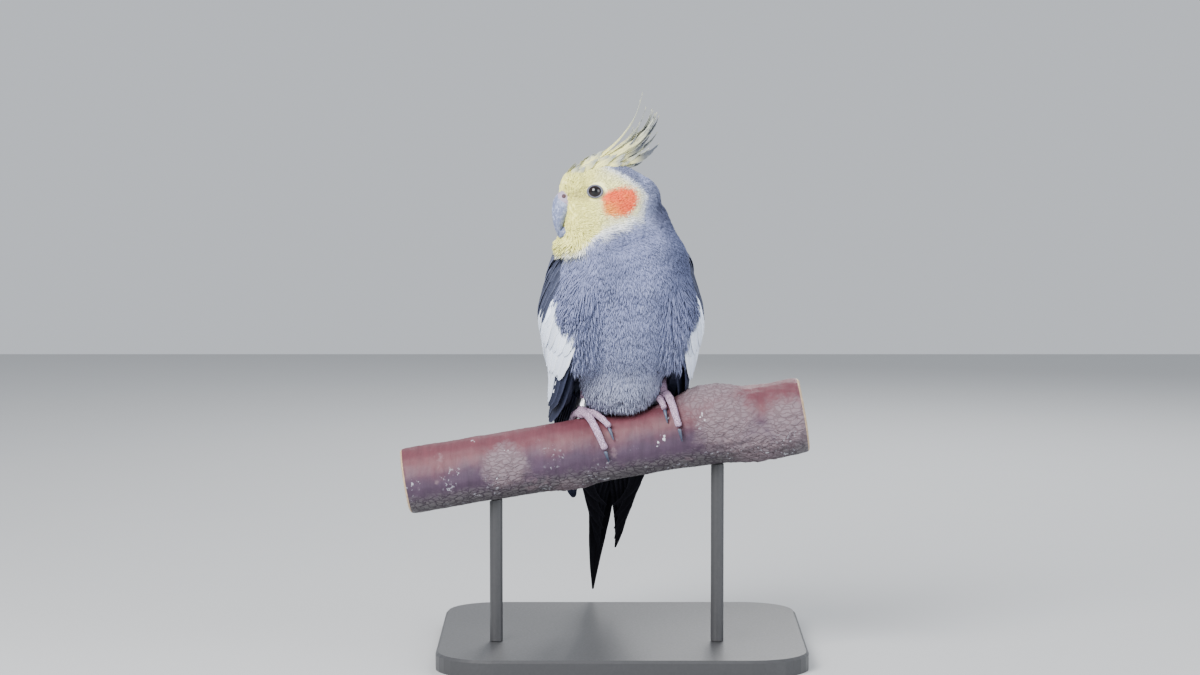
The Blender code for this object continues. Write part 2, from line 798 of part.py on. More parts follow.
def wing_core(sign):
    """The arm and shoulder under the feathers, deep enough to reach the torso."""
    rows = 7
    columns = 6
    rings = []
    for row in range(rows + 1):
        share = row / rows
        distance = CORE_START + (CORE_END - CORE_START) * share
        outer_lift = 2.3 - 9.0 * max(share - 0.2, 0.0)
        depth = 12.0 - 6.5 * share
        close = math.sqrt(max(1.0 - (2.0 * share - 1.0) ** 8, 0.04))
        outer = []
        inner = []
        for column in range(columns + 1):
            across = (-1.0 + 2.0 * column / columns) * 0.93
            edge = 1.0 - abs(across) ** 5
            lift = outer_lift - 1.8 * (1.0 - edge)
            low = lift - 1.2 - depth * edge * close
            outer.append(wing_point(sign, distance, across * close, lift)[0])
            inner.append(wing_point(sign, distance, across * close, low)[0])
        rings.append(outer + inner[::-1])
    return make_object("wing_core", *loft(rings))


def build_wing(name, sign, material):
    """A folded wing: core, scapulars, two tiers of coverts, secondaries and primaries."""
    core = wing_core(sign)
    core.name = name
    pieces = []
    for count, first, last, start, end, longer, lift, half, steps in WING_TIERS:
        for index in range(count):
            share = first + (last - first) * index / (count - 1)
            far = end + longer * index
            pieces.append(wing_vane(sign, start, far, share, lift, half, steps, ROOT_DIP))
    for index, end in enumerate(PRIMARY_ENDS):
        share = PRIMARY_SHARE[0] + PRIMARY_SHARE[1] * index
        lift = PRIMARY_LIFT[0] + PRIMARY_LIFT[1] * index
        pieces.append(wing_vane(sign, PRIMARY_START, end, share, lift, PRIMARY_HALF_WIDTH,
                                PRIMARY_STEPS, PRIMARY_DIP, PRIMARY_SHIFT * index))
    combine(core, pieces, "UNION", "MANIFOLD")
    cuts = [build_torso(None, "torso_cut", GAP), build_perch(None, "perch_cut", GAP)]
    cuts.append(tail_base("tail_cut", GAP))
    cuts.append(tail_slab("tail_slab_cut"))
    combine(core, cuts, "DIFFERENCE", "MANIFOLD")
    finish_mesh(core, material, 30.0)
    return core


# Tail

def tail_point(across, along, lift):
    """A point in the tail's frame: sideways, down its length, and out from its back."""
    down = Vector((0.0, math.sin(TAIL_LEAN), -math.cos(TAIL_LEAN)))
    out = Vector((0.0, math.cos(TAIL_LEAN), math.sin(TAIL_LEAN)))
    point = TAIL_ROOT + down * along + out * lift + Vector((across, 0.0, 0.0))
    return turned(point, BODY_YAW)


def tail_base(name, grow=0.0):
    """The tail's root under its coverts, or a slightly larger copy used as a cutter."""
    rings = []
    steps = 8
    for step in range(steps + 1):
        share = step / steps
        along = -2.0 + (TAIL_BASE_LENGTH + grow) * share
        half_x = 12.5 - 4.0 * share ** 2 + grow
        half_z = 8.5 - 5.0 * share + grow
        middle = -2.4 - 0.6 * share
        ring = []
        for turn in range(16):
            angle = 2.0 * math.pi * turn / 16
            ring.append(tail_point(half_x * math.cos(angle), along,
                                   middle + half_z * math.sin(angle)))
        rings.append(ring)
    return make_object(name, *loft(rings))


def tail_slab(name):
    """A plain block round the upper tail feathers, used to keep the wings clear of them."""
    rings = []
    for along in (TAIL_SLAB[0], TAIL_SLAB[1]):
        corners = ((-1.0, TAIL_SLAB_TOP), (1.0, TAIL_SLAB_TOP), (1.0, TAIL_SLAB_LOW),
                   (-1.0, TAIL_SLAB_LOW))
        rings.append([tail_point(side * TAIL_SLAB_HALF, along, lift) for side, lift in corners])
    return make_object(name, *loft(rings))


def build_tail(material):
    """The tail's root with twelve overlapping feathers."""
    tail = tail_base("tail")
    out = tail_point(0.0, 0.0, 1.0) - tail_point(0.0, 0.0, 0.0)
    pieces = []
    for pair in range(6):
        for side, lengths in ((-1, TAIL_LENGTHS_FAR), (1, TAIL_LENGTHS_NEAR)):
            length = lengths[pair]
            if pair < 2:
                layer = 2 * pair + (1 if side > 0 else 0)
            else:
                layer = pair + 2
            root = side * (1.2 + 1.2 * pair)
            if side < 0:
                tip = 0.4 + 0.1 * pair
                bulge = -0.6 - 1.7 * pair
            else:
                tip = 9.5 - 1.0 * pair
                bulge = 0.5 + 1.6 * pair
            points = []
            widths = []
            steps = 6
            for step in range(steps + 1):
                share = step / steps
                along = 14.0 + (length - 14.0) * share
                bow = 9.48 * share ** 3 * (1.0 - share)
                across = root + (tip - root) * share + bulge * bow
                points.append(tail_point(across, along, 0.6 - TAIL_LAYER * layer))
                shape = min(1.0, 0.6 + share) * (1.0 - max(share - 0.45, 0.0) ** 1.5 * 2.3)
                widths.append(max(TAIL_HALF_WIDTH * shape, 0.5))
            pieces.append(make_object("feather", *vane(points, [out] * len(points), widths,
                                                       VANE_THICK)))
    combine(tail, pieces, "UNION", "MANIFOLD")
    combine(tail, [build_torso(None, "torso_cut", GAP)], "DIFFERENCE", "MANIFOLD")
    finish_mesh(tail, material, 30.0)
    return tail


# Legs and feet

def foot_centre(side):
    """The middle of a foot, just above the branch."""
    x = FOOT_X[side]
    return perch_point(x, 0.0, PERCH_RADIUS + 2.3)


def toe_path(side, toe):
    """Points along a toe round the branch, with the radius at each, and the claw's path."""
    first, last, start, end, radius = toe
    centre = FOOT_X[side]
    steps = 7
    points = []
    radii = []
    for step in range(steps + 1):
        share = step / steps
        x = centre + first + (last - first) * share ** 0.9
        angle = math.radians(start + (end - start) * share)
        knuckle = 0.7 * math.sin(share * math.pi) + 0.28 * math.cos(share * 6.0 * math.pi) ** 2
        size = radius * (1.0 - 0.25 * share) * (0.93 + 0.07 * math.cos(share * 6.0 * math.pi))
        reach = perch_radius(x, angle) + size + GAP + knuckle
        points.append(perch_point(x, angle, reach))
        radii.append(size)
    way = 1.0 if end > start else -1.0
    claw_points = []
    claw_radii = []
    for step in range(5):
        share = step / 4.0
        angle = math.radians(end + way * (4.5 + 19.0 * share))
        x = centre + last + (last - first) * 0.12 * share
        size = CLAW_RADIUS * (1.0 - 0.74 * share)
        hook = 0.9 * math.sin(math.pi * min(share + 0.15, 1.0))
        reach = perch_radius(x, angle) + size + GAP + 0.15 + hook
        claw_points.append(perch_point(x, angle, reach))
        claw_radii.append(size)
    return points, radii, claw_points, claw_radii


def foot_pieces(side, grow=0.0):
    """The ball of a foot and its toes, or slightly larger copies used as cutters."""
    centre = foot_centre(side)
    pieces = [make_object("foot_" + side, *ball(centre, FOOT_RADIUS + grow, 7, 12))]
    for toe in TOES[side]:
        points, radii = toe_path(side, toe)[:2]
        end = points[-1] + (points[-1] - points[-2]).normalized() * (radii[-1] * 0.35 + grow)
        points.insert(0, centre.copy())
        radii.insert(0, radii[0])
        grown = [radius + grow for radius in radii]
        pieces.append(make_object("toe", *tube(points, grown, 7, None, end)))
    return pieces


def build_leg(side, skin, horn):
    """One leg, its foot with two toes forwards and two back, and four claws."""
    centre = foot_centre(side)
    pieces = foot_pieces(side)
    foot = pieces[0]
    combine(foot, pieces[1:], "UNION", "MANIFOLD")
    combine(foot, [build_perch(None, "perch_cut", GAP)], "DIFFERENCE", "MANIFOLD")
    finish_mesh(foot, skin)
    for number, toe in enumerate(TOES[side], start=1):
        claw_points, claw_radii = toe_path(side, toe)[2:]
        claw = make_object("claw_%s_%d" % (side, number), *tube(claw_points, claw_radii, 7))
        combine(claw, foot_pieces(side, GAP), "DIFFERENCE", "MANIFOLD")
        finish_mesh(claw, horn)
    inward = KNEE_INWARD if side == "right" else -KNEE_INWARD
    knee = centre + Vector((inward, KNEE_BACK, KNEE_HEIGHT))
    leg_points = [centre.lerp(knee, share) for share in (0.0, 0.25, 0.5, 0.75, 1.0)]
    radii = [TARSUS_RADIUS, TARSUS_RADIUS, TARSUS_RADIUS + 0.2, 3.4, 4.6]
    leg = make_object("leg_" + side, *tube(leg_points, radii, 12))
    cuts = foot_pieces(side, GAP)
    cuts.append(build_torso(None, "torso_cut", GAP))
    combine(leg, cuts, "DIFFERENCE", "MANIFOLD")
    finish_mesh(leg, skin)
    return centre, knee


def build_ring(centre, knee, material):
    """The plain metal band round the bird's right leg."""
    axis = (knee - centre).normalized()
    middle = centre + axis * RING_HEIGHT
    side = axis.orthogonal().normalized()
    other = axis.cross(side)
    profile = ((0.0, -0.5), (RING_WALL, -0.5), (RING_WALL, 0.5), (0.0, 0.5))
    inner = RING_RADIUS - RING_WALL
    around = 24
    vertices = []
    faces = []
    for step in range(around):
        angle = 2.0 * math.pi * step / around
        spoke = side * math.cos(angle) + other * math.sin(angle)
        for corner, (out, along) in enumerate(profile):
            vertices.append(middle + spoke * (inner + out) + axis * (RING_WIDTH * along))
            a = step * 4 + corner
            b = step * 4 + (corner + 1) % 4
            c = ((step + 1) % around) * 4 + (corner + 1) % 4
            d = ((step + 1) % around) * 4 + corner
            faces.append((a, b, c, d))
    ring = make_object("leg_ring", vertices, faces)
    finish_mesh(ring, material)


def main():
    clear_scene()
    grey = make_material("plumage_grey", (0.36, 0.37, 0.46), 0.85)
    yellow = make_material("plumage_yellow", (0.82, 0.78, 0.42), 0.85)
    slate = make_material("plumage_slate", (0.12, 0.13, 0.18), 0.7)
    white = make_material("plumage_white", (0.80, 0.83, 0.88), 0.8)
    black = make_material("plumage_dark", (0.02, 0.02, 0.025), 0.7)
    eye = make_material("eye_dark", (0.01, 0.01, 0.012), 0.08)
    horn = make_material("bill_horn", (0.30, 0.33, 0.42), 0.5)
    claw = make_material("claw_horn", (0.06, 0.09, 0.13), 0.4)
    skin = make_material("foot_skin", (0.55, 0.42, 0.46), 0.65)
    steel = make_material("ring_metal", (0.70, 0.71, 0.72), 0.25, 1.0)
    bark = make_material("bark", (0.33, 0.14, 0.12), 0.8)
    lacquer = make_material("stand_lacquer", (0.05, 0.05, 0.055), 0.45)

    perch = build_perch(bark)
    finish_mesh(perch, bark)
    build_base(lacquer)
    build_rods(lacquer)
    torso = build_torso(grey)
    combine(torso, [build_skull("head_cut", GAP)], "DIFFERENCE")
    finish_mesh(torso, grey)
    build_neck(grey)
    build_head(yellow, eye)
    build_bill(horn, horn)
    build_wing("wing_left", 1, white)
    build_wing("wing_right", -1, slate)
    build_tail(black)
    for side in ("right", "left"):
        centre, knee = build_leg(side, skin, claw)
        if side == "right":
            build_ring(centre, knee, steel)
    for obj in bpy.data.objects:
        triangles = sum(len(polygon.vertices) - 2 for polygon in obj.data.polygons)
        print(obj.name, triangles)


main()
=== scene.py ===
# %% [markdown]
# # A cockatiel on a cut branch
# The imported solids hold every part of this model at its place: the head, the neck, the torso,
# the wings, the feet, the branch and its stand. This lesson dresses them. It grows a skin
# under the feathers, covers it with a coat, builds the flight feathers one by one, and gives
# the horn, the bare skin, the bark and the metal their finishes.

# %% Load the solids
import math
import bpy
import numpy as np
from mathutils import Matrix, Vector
from mathutils import noise as solid_noise
from mathutils.bvhtree import BVHTree


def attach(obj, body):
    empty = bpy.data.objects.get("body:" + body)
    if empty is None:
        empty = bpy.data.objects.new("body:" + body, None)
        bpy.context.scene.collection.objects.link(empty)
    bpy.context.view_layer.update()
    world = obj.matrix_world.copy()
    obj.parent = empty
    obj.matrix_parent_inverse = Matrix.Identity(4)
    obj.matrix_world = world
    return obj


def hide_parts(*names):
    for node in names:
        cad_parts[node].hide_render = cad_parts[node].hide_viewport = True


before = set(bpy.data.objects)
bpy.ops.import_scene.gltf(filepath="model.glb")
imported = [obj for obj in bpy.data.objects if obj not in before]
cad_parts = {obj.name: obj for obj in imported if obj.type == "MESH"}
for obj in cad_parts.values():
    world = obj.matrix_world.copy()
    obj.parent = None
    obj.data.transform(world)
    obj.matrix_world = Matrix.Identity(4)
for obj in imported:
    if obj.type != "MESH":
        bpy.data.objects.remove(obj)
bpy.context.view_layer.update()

# %% [markdown]
# ## Two frames
# The bird is described in millimetres from the point where its belly meets the branch, and
# its head from the middle of the skull, because a head is turned as one piece. Two short
# functions carry points from those frames into the scene, which is in metres.

# %% Frames of the bird and of its head
MM = 0.001
BIRD_ORIGIN = np.array((0.0, -30.0, 115.0))
BODY_YAW = math.radians(8.0)
HEAD_YAW = math.radians(-68.0)
HEAD_CENTRE = np.array((-6.0, -8.0, 95.7))
HEAD_FORWARD = np.array((math.sin(HEAD_YAW), -math.cos(HEAD_YAW), 0.0))
HEAD_LEFT = np.array((math.cos(HEAD_YAW), math.sin(HEAD_YAW), 0.0))
UP = np.array((0.0, 0.0, 1.0))


def in_scene(points):
    """Points of the bird, in millimetres, as places in the scene, in metres."""
    return (np.asarray(points, float) + BIRD_ORIGIN) * MM


def in_bird(points):
    """Places in the scene, in metres, as points of the bird, in millimetres."""
    return np.asarray(points, float) / MM - BIRD_ORIGIN


def from_head(forward, side, up):
    """A point of the head's frame as a point of the bird."""
    return HEAD_CENTRE + HEAD_FORWARD * forward + HEAD_LEFT * side + UP * up


def to_head(points):
    """Points of the bird in the head's frame: forward, to the bird's left, up."""
    away = np.asarray(points, float) - HEAD_CENTRE
    return np.stack((away @ HEAD_FORWARD, away @ HEAD_LEFT, away @ UP), axis=-1)


def unit(vectors):
    """Vectors of length one."""
    return vectors / np.maximum(np.linalg.norm(vectors, axis=-1, keepdims=True), 1e-9)


def ease(values, low, high):
    """0 below low, 1 above high, and a soft step between them."""
    share = np.clip((np.asarray(values, float) - low) / (high - low), 0.0, 1.0)
    return share * share * (3.0 - 2.0 * share)


def deselect():
    """Operators act on what is selected, so each step starts with nothing selected."""
    if bpy.context.mode != "OBJECT":
        bpy.ops.object.mode_set(mode="OBJECT")
    bpy.ops.object.select_all(action="DESELECT")


def pick(piece):
    """Makes one object the only selected and active one."""
    deselect()
    piece.select_set(True)
    bpy.context.view_layer.objects.active = piece


def triangles(piece):
    """How many triangles a mesh object holds."""
    return sum(len(face.vertices) - 2 for face in piece.data.polygons)


def paint(piece, finish):
    """Gives a piece one finish in place of what it has."""
    piece.data.materials.clear()
    piece.data.materials.append(finish.material)


def edit_whole(*steps):
    """Runs steps on the whole active mesh; each step is an operator and its settings."""
    bpy.ops.object.mode_set(mode="EDIT")
    bpy.ops.mesh.select_all(action="SELECT")
    for operator, settings in steps:
        operator(**settings)
    bpy.ops.object.mode_set(mode="OBJECT")


def stretch(amounts):
    """Scales the active mesh about its origin, before the object is moved."""
    edit_whole((bpy.ops.transform.resize, {"value": amounts, "center_override": (0, 0, 0)}))


FACE_OUT = (bpy.ops.mesh.normals_make_consistent, {"inside": False})


def linked(name, data):
    """A new object around the given data, linked into the scene."""
    thing = bpy.data.objects.new(name, data)
    bpy.context.scene.collection.objects.link(thing)
    return thing


def apply_modifier(piece, kind, **settings):
    """Adds a modifier, sets it up and applies it."""
    pick(piece)
    modifier = piece.modifiers.new(kind.lower(), kind)
    for name, value in settings.items():
        setattr(modifier, name, value)
    bpy.ops.object.modifier_apply(modifier=modifier.name)


print("head centre in the scene", np.round(in_scene(HEAD_CENTRE), 4))

# %% [markdown]
# ## Finishes written as sums
# Every finish here is procedural. A shader socket is wrapped in a small class, so that a sum
# such as `1 - mask * 0.5` adds its own Math nodes, and one method adds any other node.

# %% Shader sockets in Python sums
class Signal:
    """A number that varies over a surface; sums on it add Math nodes."""

    def __init__(self, finish, socket):
        self.finish = finish
        self.socket = socket

    def __add__(self, other):
        return self.finish.math("ADD", self, other)

    def __sub__(self, other):
        return self.finish.math("SUBTRACT", self, other)

    def __rsub__(self, other):
        return self.finish.math("SUBTRACT", other, self)

    def __mul__(self, other):
        return self.finish.math("MULTIPLY", self, other)

    def __truediv__(self, other):
        return self.finish.math("DIVIDE", self, other)

    def __pow__(self, other):
        return self.finish.math("POWER", self, other)

    __radd__ = __add__
    __rmul__ = __mul__


class Finish:
    """One material with a Principled shader, and short words for its nodes."""

    def __init__(self, name, **constants):
        self.material = bpy.data.materials.new(name)
        self.material.use_nodes = True
        self.tree = self.material.node_tree
        self.shader = self.tree.nodes["Principled BSDF"]
        for socket, value in constants.items():
            self.shader.inputs[socket.replace("_", " ")].default_value = value

    def feed(self, socket, value):
        """Links a signal or socket into an input, or sets a plain value there."""
        if isinstance(value, Signal):
            value = value.socket
        if isinstance(value, bpy.types.NodeSocket):
            self.tree.links.new(value, socket)
        else:
            socket.default_value = value

    def add(self, kind, settings, inputs, output=0):
        """Any node: its type, its settings, its inputs by name or number, and one output."""
        node = self.tree.nodes.new(kind)
        for name, value in settings.items():
            setattr(node, name, value)
        for name, value in inputs.items():
            self.feed(node.inputs[name], value)
        return Signal(self, node.outputs[output])

    def math(self, operation, first, second=0.0):
        return self.add("ShaderNodeMath", {"operation": operation}, {0: first, 1: second})

    def smallest(self, first, second):
        return self.math("MINIMUM", first, second)

    def largest(self, first, second):
        return self.math("MAXIMUM", first, second)

    def size_of(self, value):
        return self.math("ABSOLUTE", value)

    def step(self, value, low, high):
        """0 at low and 1 at high, with a soft step between."""
        ends = {"Value": value, "From Min": low, "From Max": high}
        return self.add("ShaderNodeMapRange", {"interpolation_type": "SMOOTHSTEP"}, ends)

    def blend(self, share, first, second, mode="MIX"):
        """Two colours mixed by a share."""
        settings = {"data_type": "RGBA", "blend_type": mode}
        first = (*first, 1.0) if isinstance(first, tuple) else first
        second = (*second, 1.0) if isinstance(second, tuple) else second
        return self.add("ShaderNodeMix", settings, {0: share, 6: first, 7: second}, 2)

    def shaded(self, colour, light):
        """A colour made lighter or darker by a number."""
        grey = self.add("ShaderNodeCombineXYZ", {}, {"X": light, "Y": light, "Z": light})
        return self.blend(1.0, colour, grey, "MULTIPLY")

    def place(self):
        """The point on the surface, in the scene's own metres."""
        return self.add("ShaderNodeTexCoord", {}, {}, "Object")

    def attribute(self, name, output="Fac"):
        return self.add("ShaderNodeAttribute", {"attribute_name": name}, {}, output)

    def moved(self, vector, location=(0, 0, 0), turn=(0, 0, 0), scale=(1, 1, 1)):
        """A vector scaled, turned and then moved."""
        inputs = {"Vector": vector, "Location": location, "Rotation": turn, "Scale": scale}
        return self.add("ShaderNodeMapping", {"vector_type": "POINT"}, inputs)

    def axes(self, vector):
        """The three numbers of a vector."""
        split = self.add("ShaderNodeSeparateXYZ", {}, {"Vector": vector})
        node = split.socket.node
        return [Signal(self, node.outputs[axis]) for axis in ("X", "Y", "Z")]

    def noise(self, vector, scale, detail=3.0, roughness=0.55):
        inputs = {"Vector": vector, "Scale": scale, "Detail": detail, "Roughness": roughness}
        return self.add("ShaderNodeTexNoise", {}, inputs, 0)

    def cells(self, vector, scale):
        """The distance to the edges between irregular cells."""
        settings = {"feature": "DISTANCE_TO_EDGE"}
        return self.add("ShaderNodeTexVoronoi", settings, {"Vector": vector, "Scale": scale})

    def bump(self, height, distance, strength=1.0):
        """Raises the surface by a height signal times a distance in metres."""
        inputs = {"Height": height, "Distance": distance, "Strength": strength}
        normal = self.add("ShaderNodeBump", {}, inputs)
        self.feed(self.shader.inputs["Normal"], normal)

    def colour(self, value):
        self.feed(self.shader.inputs["Base Color"], value)

    def roughness(self, value):
        self.feed(self.shader.inputs["Roughness"], value)


def grained(name, scale, low, high, raised=None, detail=3.0, soft=0.55, **constants):
    """A finish that runs between two colours by one noise, and that noise itself."""
    finish = Finish(name, **constants)
    grain = finish.noise(finish.place(), scale, detail, soft)
    finish.colour(finish.blend(grain, low, high))
    if raised:
        finish.bump(grain, *raised)
    return finish, grain


print("finish helpers ready")

# %% [markdown]
# ## The markings of the plumage
# On the living bird one pattern runs through skin and feathers alike. So one function works
# out the colour at a place on the body, and both the skin and the coat call it: the skin with
# its own points, the coat with the place of each feather's root, so that a feather keeps one
# pattern colour, with a paler tip and a tone of its own. The yellow face, its pale border, the
# orange cheek patch and the grey of the rest are masks measured in the head's frame.

# %% Plumage colours and masks
LEMON = (0.97, 0.94, 0.33)
CREAM = (0.95, 0.93, 0.62)
CHALK = (0.80, 0.85, 0.95)
ORANGE = (0.95, 0.135, 0.045)
APRICOT = (0.95, 0.33, 0.06)
DOVE = (0.210, 0.238, 0.410)
MIST = (0.32, 0.36, 0.55)
STORM = (0.125, 0.145, 0.255)
SHADE = (0.080, 0.096, 0.185)
NAPE = (0.040, 0.045, 0.088)
OLIVE = (0.52, 0.46, 0.20)
BELLY = (0.33, 0.35, 0.44)
CHEEK_PLACE = (3.0, 1.2)
CHEEK_SIZE = (7.6, 6.6)


def head_axes(finish, place):
    """Forward and up in the head's frame, in millimetres, at a place."""
    centre = Vector(in_scene(HEAD_CENTRE))
    turned = finish.moved(place, location=tuple(-centre))
    back, up = finish.axes(finish.moved(turned, turn=(0.0, 0.0, -HEAD_YAW)))[1:]
    return back * (-1 / MM), up * (1 / MM)


def plumage_colour(finish, place):
    """The colour of the body's plumage at a place in the scene."""
    forward, up = head_axes(finish, place)
    x, y, z = finish.axes(place)
    height = z * 1000.0 - BIRD_ORIGIN[2]
    patches = finish.noise(place, 170.0, 2.0)
    wander = (finish.noise(place, 260.0, 3.0) - 0.5) * 5.0
    mottle = finish.noise(place, 95.0, 3.0, 0.55)

    shade = finish.step(mottle, 0.46, 0.60) * (finish.step(height, 30.0, 66.0) * 0.75 + 0.12)
    grey = finish.blend(shade * 0.6, DOVE, STORM)
    pale = finish.step(height, 60.0, 22.0) * 0.5 + finish.step(patches, 0.52, 0.68) * 0.3
    grey = finish.blend(pale, grey, MIST)
    belly = 1 - finish.step(height + (patches - 0.5) * 20.0, 8.0, 34.0)
    grey = finish.blend(belly * 0.6, grey, BELLY)
    back = finish.step(y * 1000.0 - BIRD_ORIGIN[1], 4.0, 16.0)
    grey = finish.blend(back * 0.75, grey, NAPE)
    # Painted shade: the bird's left neck and shoulder, turned away from the key light, are
    # darkened towards SHADE.
    far = x * 1000.0 + (height - 70.0) * 0.10
    grey = finish.blend(finish.step(far, 12.0, 24.0) * finish.step(height, 46.0, 66.0) * 0.8,
                        grey, SHADE)
    on_head = finish.step(height, 82.0, 92.0)
    rear = finish.step(mottle + (up - 6.0) * 0.01, 0.40, 0.62)
    deep = 1 - finish.step(forward + (up - 6.0) * 0.4, -23.0, -14.0)
    hind = finish.blend(finish.largest(rear * 0.5, deep * 0.9), MIST, NAPE)
    grey = finish.blend(on_head * 0.8, grey, hind)

    rear_edge = forward + 11.5 - finish.largest(up - 5.0, 0.0) * 1.35 + finish.smallest(
        up - 5.0, 0.0) * 0.22
    low_edge = up + 10.5 + forward * 0.36 + finish.largest(forward - 12.0, 0.0) * 0.6
    face = finish.smallest(rear_edge, low_edge) + wander
    face_mask = finish.step(face, -1.0, 2.4)
    yellow = finish.step(face, 3.5, 12.0)
    front = finish.step(forward, 4.0, 15.0)
    yellow = finish.largest(yellow * 0.62, front * finish.step(face, 1.0, 7.0))
    colour = finish.blend(yellow, CREAM, LEMON)
    border = 1 - finish.step(face, 1.5, 6.0)
    colour = finish.blend(border * 0.85, colour, CHALK)

    away_forward = (forward - CHEEK_PLACE[0] + (up - CHEEK_PLACE[1]) * 0.30) / CHEEK_SIZE[0]
    away_up = (up - CHEEK_PLACE[1]) / CHEEK_SIZE[1]
    ring = (finish.size_of(away_forward) ** 2.6 + finish.size_of(away_up) ** 2.6) ** 0.385
    cheek = 1 - finish.step(ring + wander * 0.035, 0.78, 1.12)
    corner = finish.step(forward - up * 1.2, 3.5, 11.0)
    patch = finish.blend(corner * 0.8 + finish.step(patches, 0.55, 0.7) * 0.3, ORANGE, APRICOT)
    colour = finish.blend(cheek, colour, patch)

    lore = 1 - finish.step(((forward - 18.0) ** 2 / 22.0 + (up - 3.6) ** 2 / 5.0), 0.2, 1.3)
    specks = finish.step(finish.noise(place, 900.0, 2.0), 0.46, 0.6)
    colour = finish.blend(lore * (0.25 + specks * 0.45), colour, OLIVE)
    crown = finish.step(up, 13.5, 16.5) * finish.step(mottle, 0.45, 0.6)
    colour = finish.blend(crown * 0.35, colour, MIST)
    return finish.blend(face_mask, grey, colour)


skin_finish = Finish("plumage_skin", Roughness=0.9)
skin_finish.colour(plumage_colour(skin_finish, skin_finish.place()))
down = skin_finish.noise(skin_finish.place(), 1400.0, 3.0)
skin_finish.bump(down, 0.0003)
coat_finish = Finish("plumage_coat", Roughness=0.85, Sheen_Weight=0.06, Sheen_Roughness=0.6,
                     Specular_IOR_Level=0.12)
coat_along = coat_finish.attribute("along")
coat_tone = coat_finish.attribute("tone")
coat_finish.colour(coat_finish.shaded(
    plumage_colour(coat_finish, coat_finish.attribute("root_place", "Vector")),
    0.90 + coat_along * 0.14 + (coat_tone - 0.5) * 0.16))
print("plumage nodes", len(coat_finish.tree.nodes))

# %% [markdown]
# ## The skin under the feathers
# A plucked bird is much smaller than it looks, and the coat makes up the rest. The body is
# blocked out the way a modeller does it by hand: a filled circle is extruded from section to
# section and scaled at each, once up through torso and neck and once along the head. A voxel
# remesh fuses both into one surface without a seam, and a smoothing pass settles the joins.

# %% Block out the body and the head by extruding sections
# Each torso section: height, half width, half depth and the middle's place towards the back.
TORSO_SECTIONS = (
    (3.0, 9.0, 12.0, 9.0), (9.0, 17.5, 23.0, 9.0), (16.0, 21.5, 28.5, 8.0),
    (28.0, 26.0, 33.0, 3.5), (42.0, 29.0, 34.5, -1.0), (56.0, 31.0, 32.5, -5.0),
    (67.0, 31.0, 29.5, -6.5), (77.0, 28.5, 25.6, -6.5), (84.0, 24.8, 21.5, -5.0),
    (90.0, 22.4, 17.8, -3.2), (96.0, 19.6, 15.0, -2.0), (101.0, 15.0, 11.0, -2.5))
# Each head section: place forward, top, underside and half width.
HEAD_SECTIONS = (
    (-24.6, 6.5, -4.5, 5.5), (-22.0, 10.5, -8.0, 10.0), (-17.0, 14.2, -12.0, 14.2),
    (-9.0, 17.4, -16.0, 17.3), (0.0, 18.4, -19.0, 17.8), (8.0, 17.9, -20.8, 16.6),
    (14.0, 16.2, -22.6, 14.6), (19.0, 15.0, -22.4, 12.0), (21.6, 12.0, -19.6, 9.0),
    (23.0, 7.6, -14.0, 5.0))
SKIN_VOXEL = 1.15 * MM
CIRCLE_POINTS = 36
BODY_COAT = 2.3
FACE_COAT = 0.9


def spline(rows, place):
    """Rows of equal length read at a place between 0 and the last row, on a smooth curve."""
    rows = np.asarray(rows, float)
    last = len(rows) - 1
    index = min(max(int(math.floor(place)), 0), last - 1)
    part = place - index
    before, start, end, after = (rows[max(index - 1, 0)], rows[index], rows[index + 1],
                                 rows[min(index + 2, last)])
    pull_in = 0.5 * (end - before)
    pull_out = 0.5 * (after - start)
    cubic = 2.0 * (start - end) + pull_in + pull_out
    square = 3.0 * (end - start) - 2.0 * pull_in - pull_out
    return ((cubic * part + square) * part + pull_in) * part + start


def extruded_form(name, sections):
    """A closed form by extruding a filled circle through (place, width, reach, middle)."""
    deselect()
    place, width, reach, middle = sections[0]
    bpy.ops.mesh.primitive_circle_add(vertices=CIRCLE_POINTS, radius=MM, fill_type="NGON")
    form = bpy.context.object
    form.name = name
    bpy.ops.object.mode_set(mode="EDIT")
    bpy.ops.mesh.select_all(action="SELECT")
    bpy.ops.transform.resize(value=(width, reach, 1.0), center_override=(0, 0, 0))
    bpy.ops.transform.translate(value=(0.0, middle * MM, place * MM))
    for new_place, new_width, new_reach, new_middle in sections[1:]:
        rise = (0.0, (new_middle - middle) * MM, (new_place - place) * MM)
        bpy.ops.mesh.extrude_region_move(TRANSFORM_OT_translate={"value": rise})
        centre = (0.0, new_middle * MM, new_place * MM)
        bpy.ops.transform.resize(value=(new_width / width, new_reach / reach, 1.0),
                                 center_override=centre)
        place, width, reach, middle = new_place, new_width, new_reach, new_middle
    bpy.ops.mesh.select_all(action="SELECT")
    bpy.ops.mesh.normals_make_consistent(inside=False)
    bpy.ops.object.mode_set(mode="OBJECT")
    return form


def refined(rows, steps):
    """The sections read more finely along their curve."""
    return [tuple(spline(rows, (len(rows) - 1) * step / steps)) for step in range(steps + 1)]


body_form = extruded_form("plumage_skin", refined(TORSO_SECTIONS, 40))
body_form.rotation_euler = (0.0, 0.0, BODY_YAW)
body_form.location = tuple(in_scene((0.0, 0.0, 0.0)))
bpy.ops.object.transform_apply(location=True, rotation=True, scale=True)

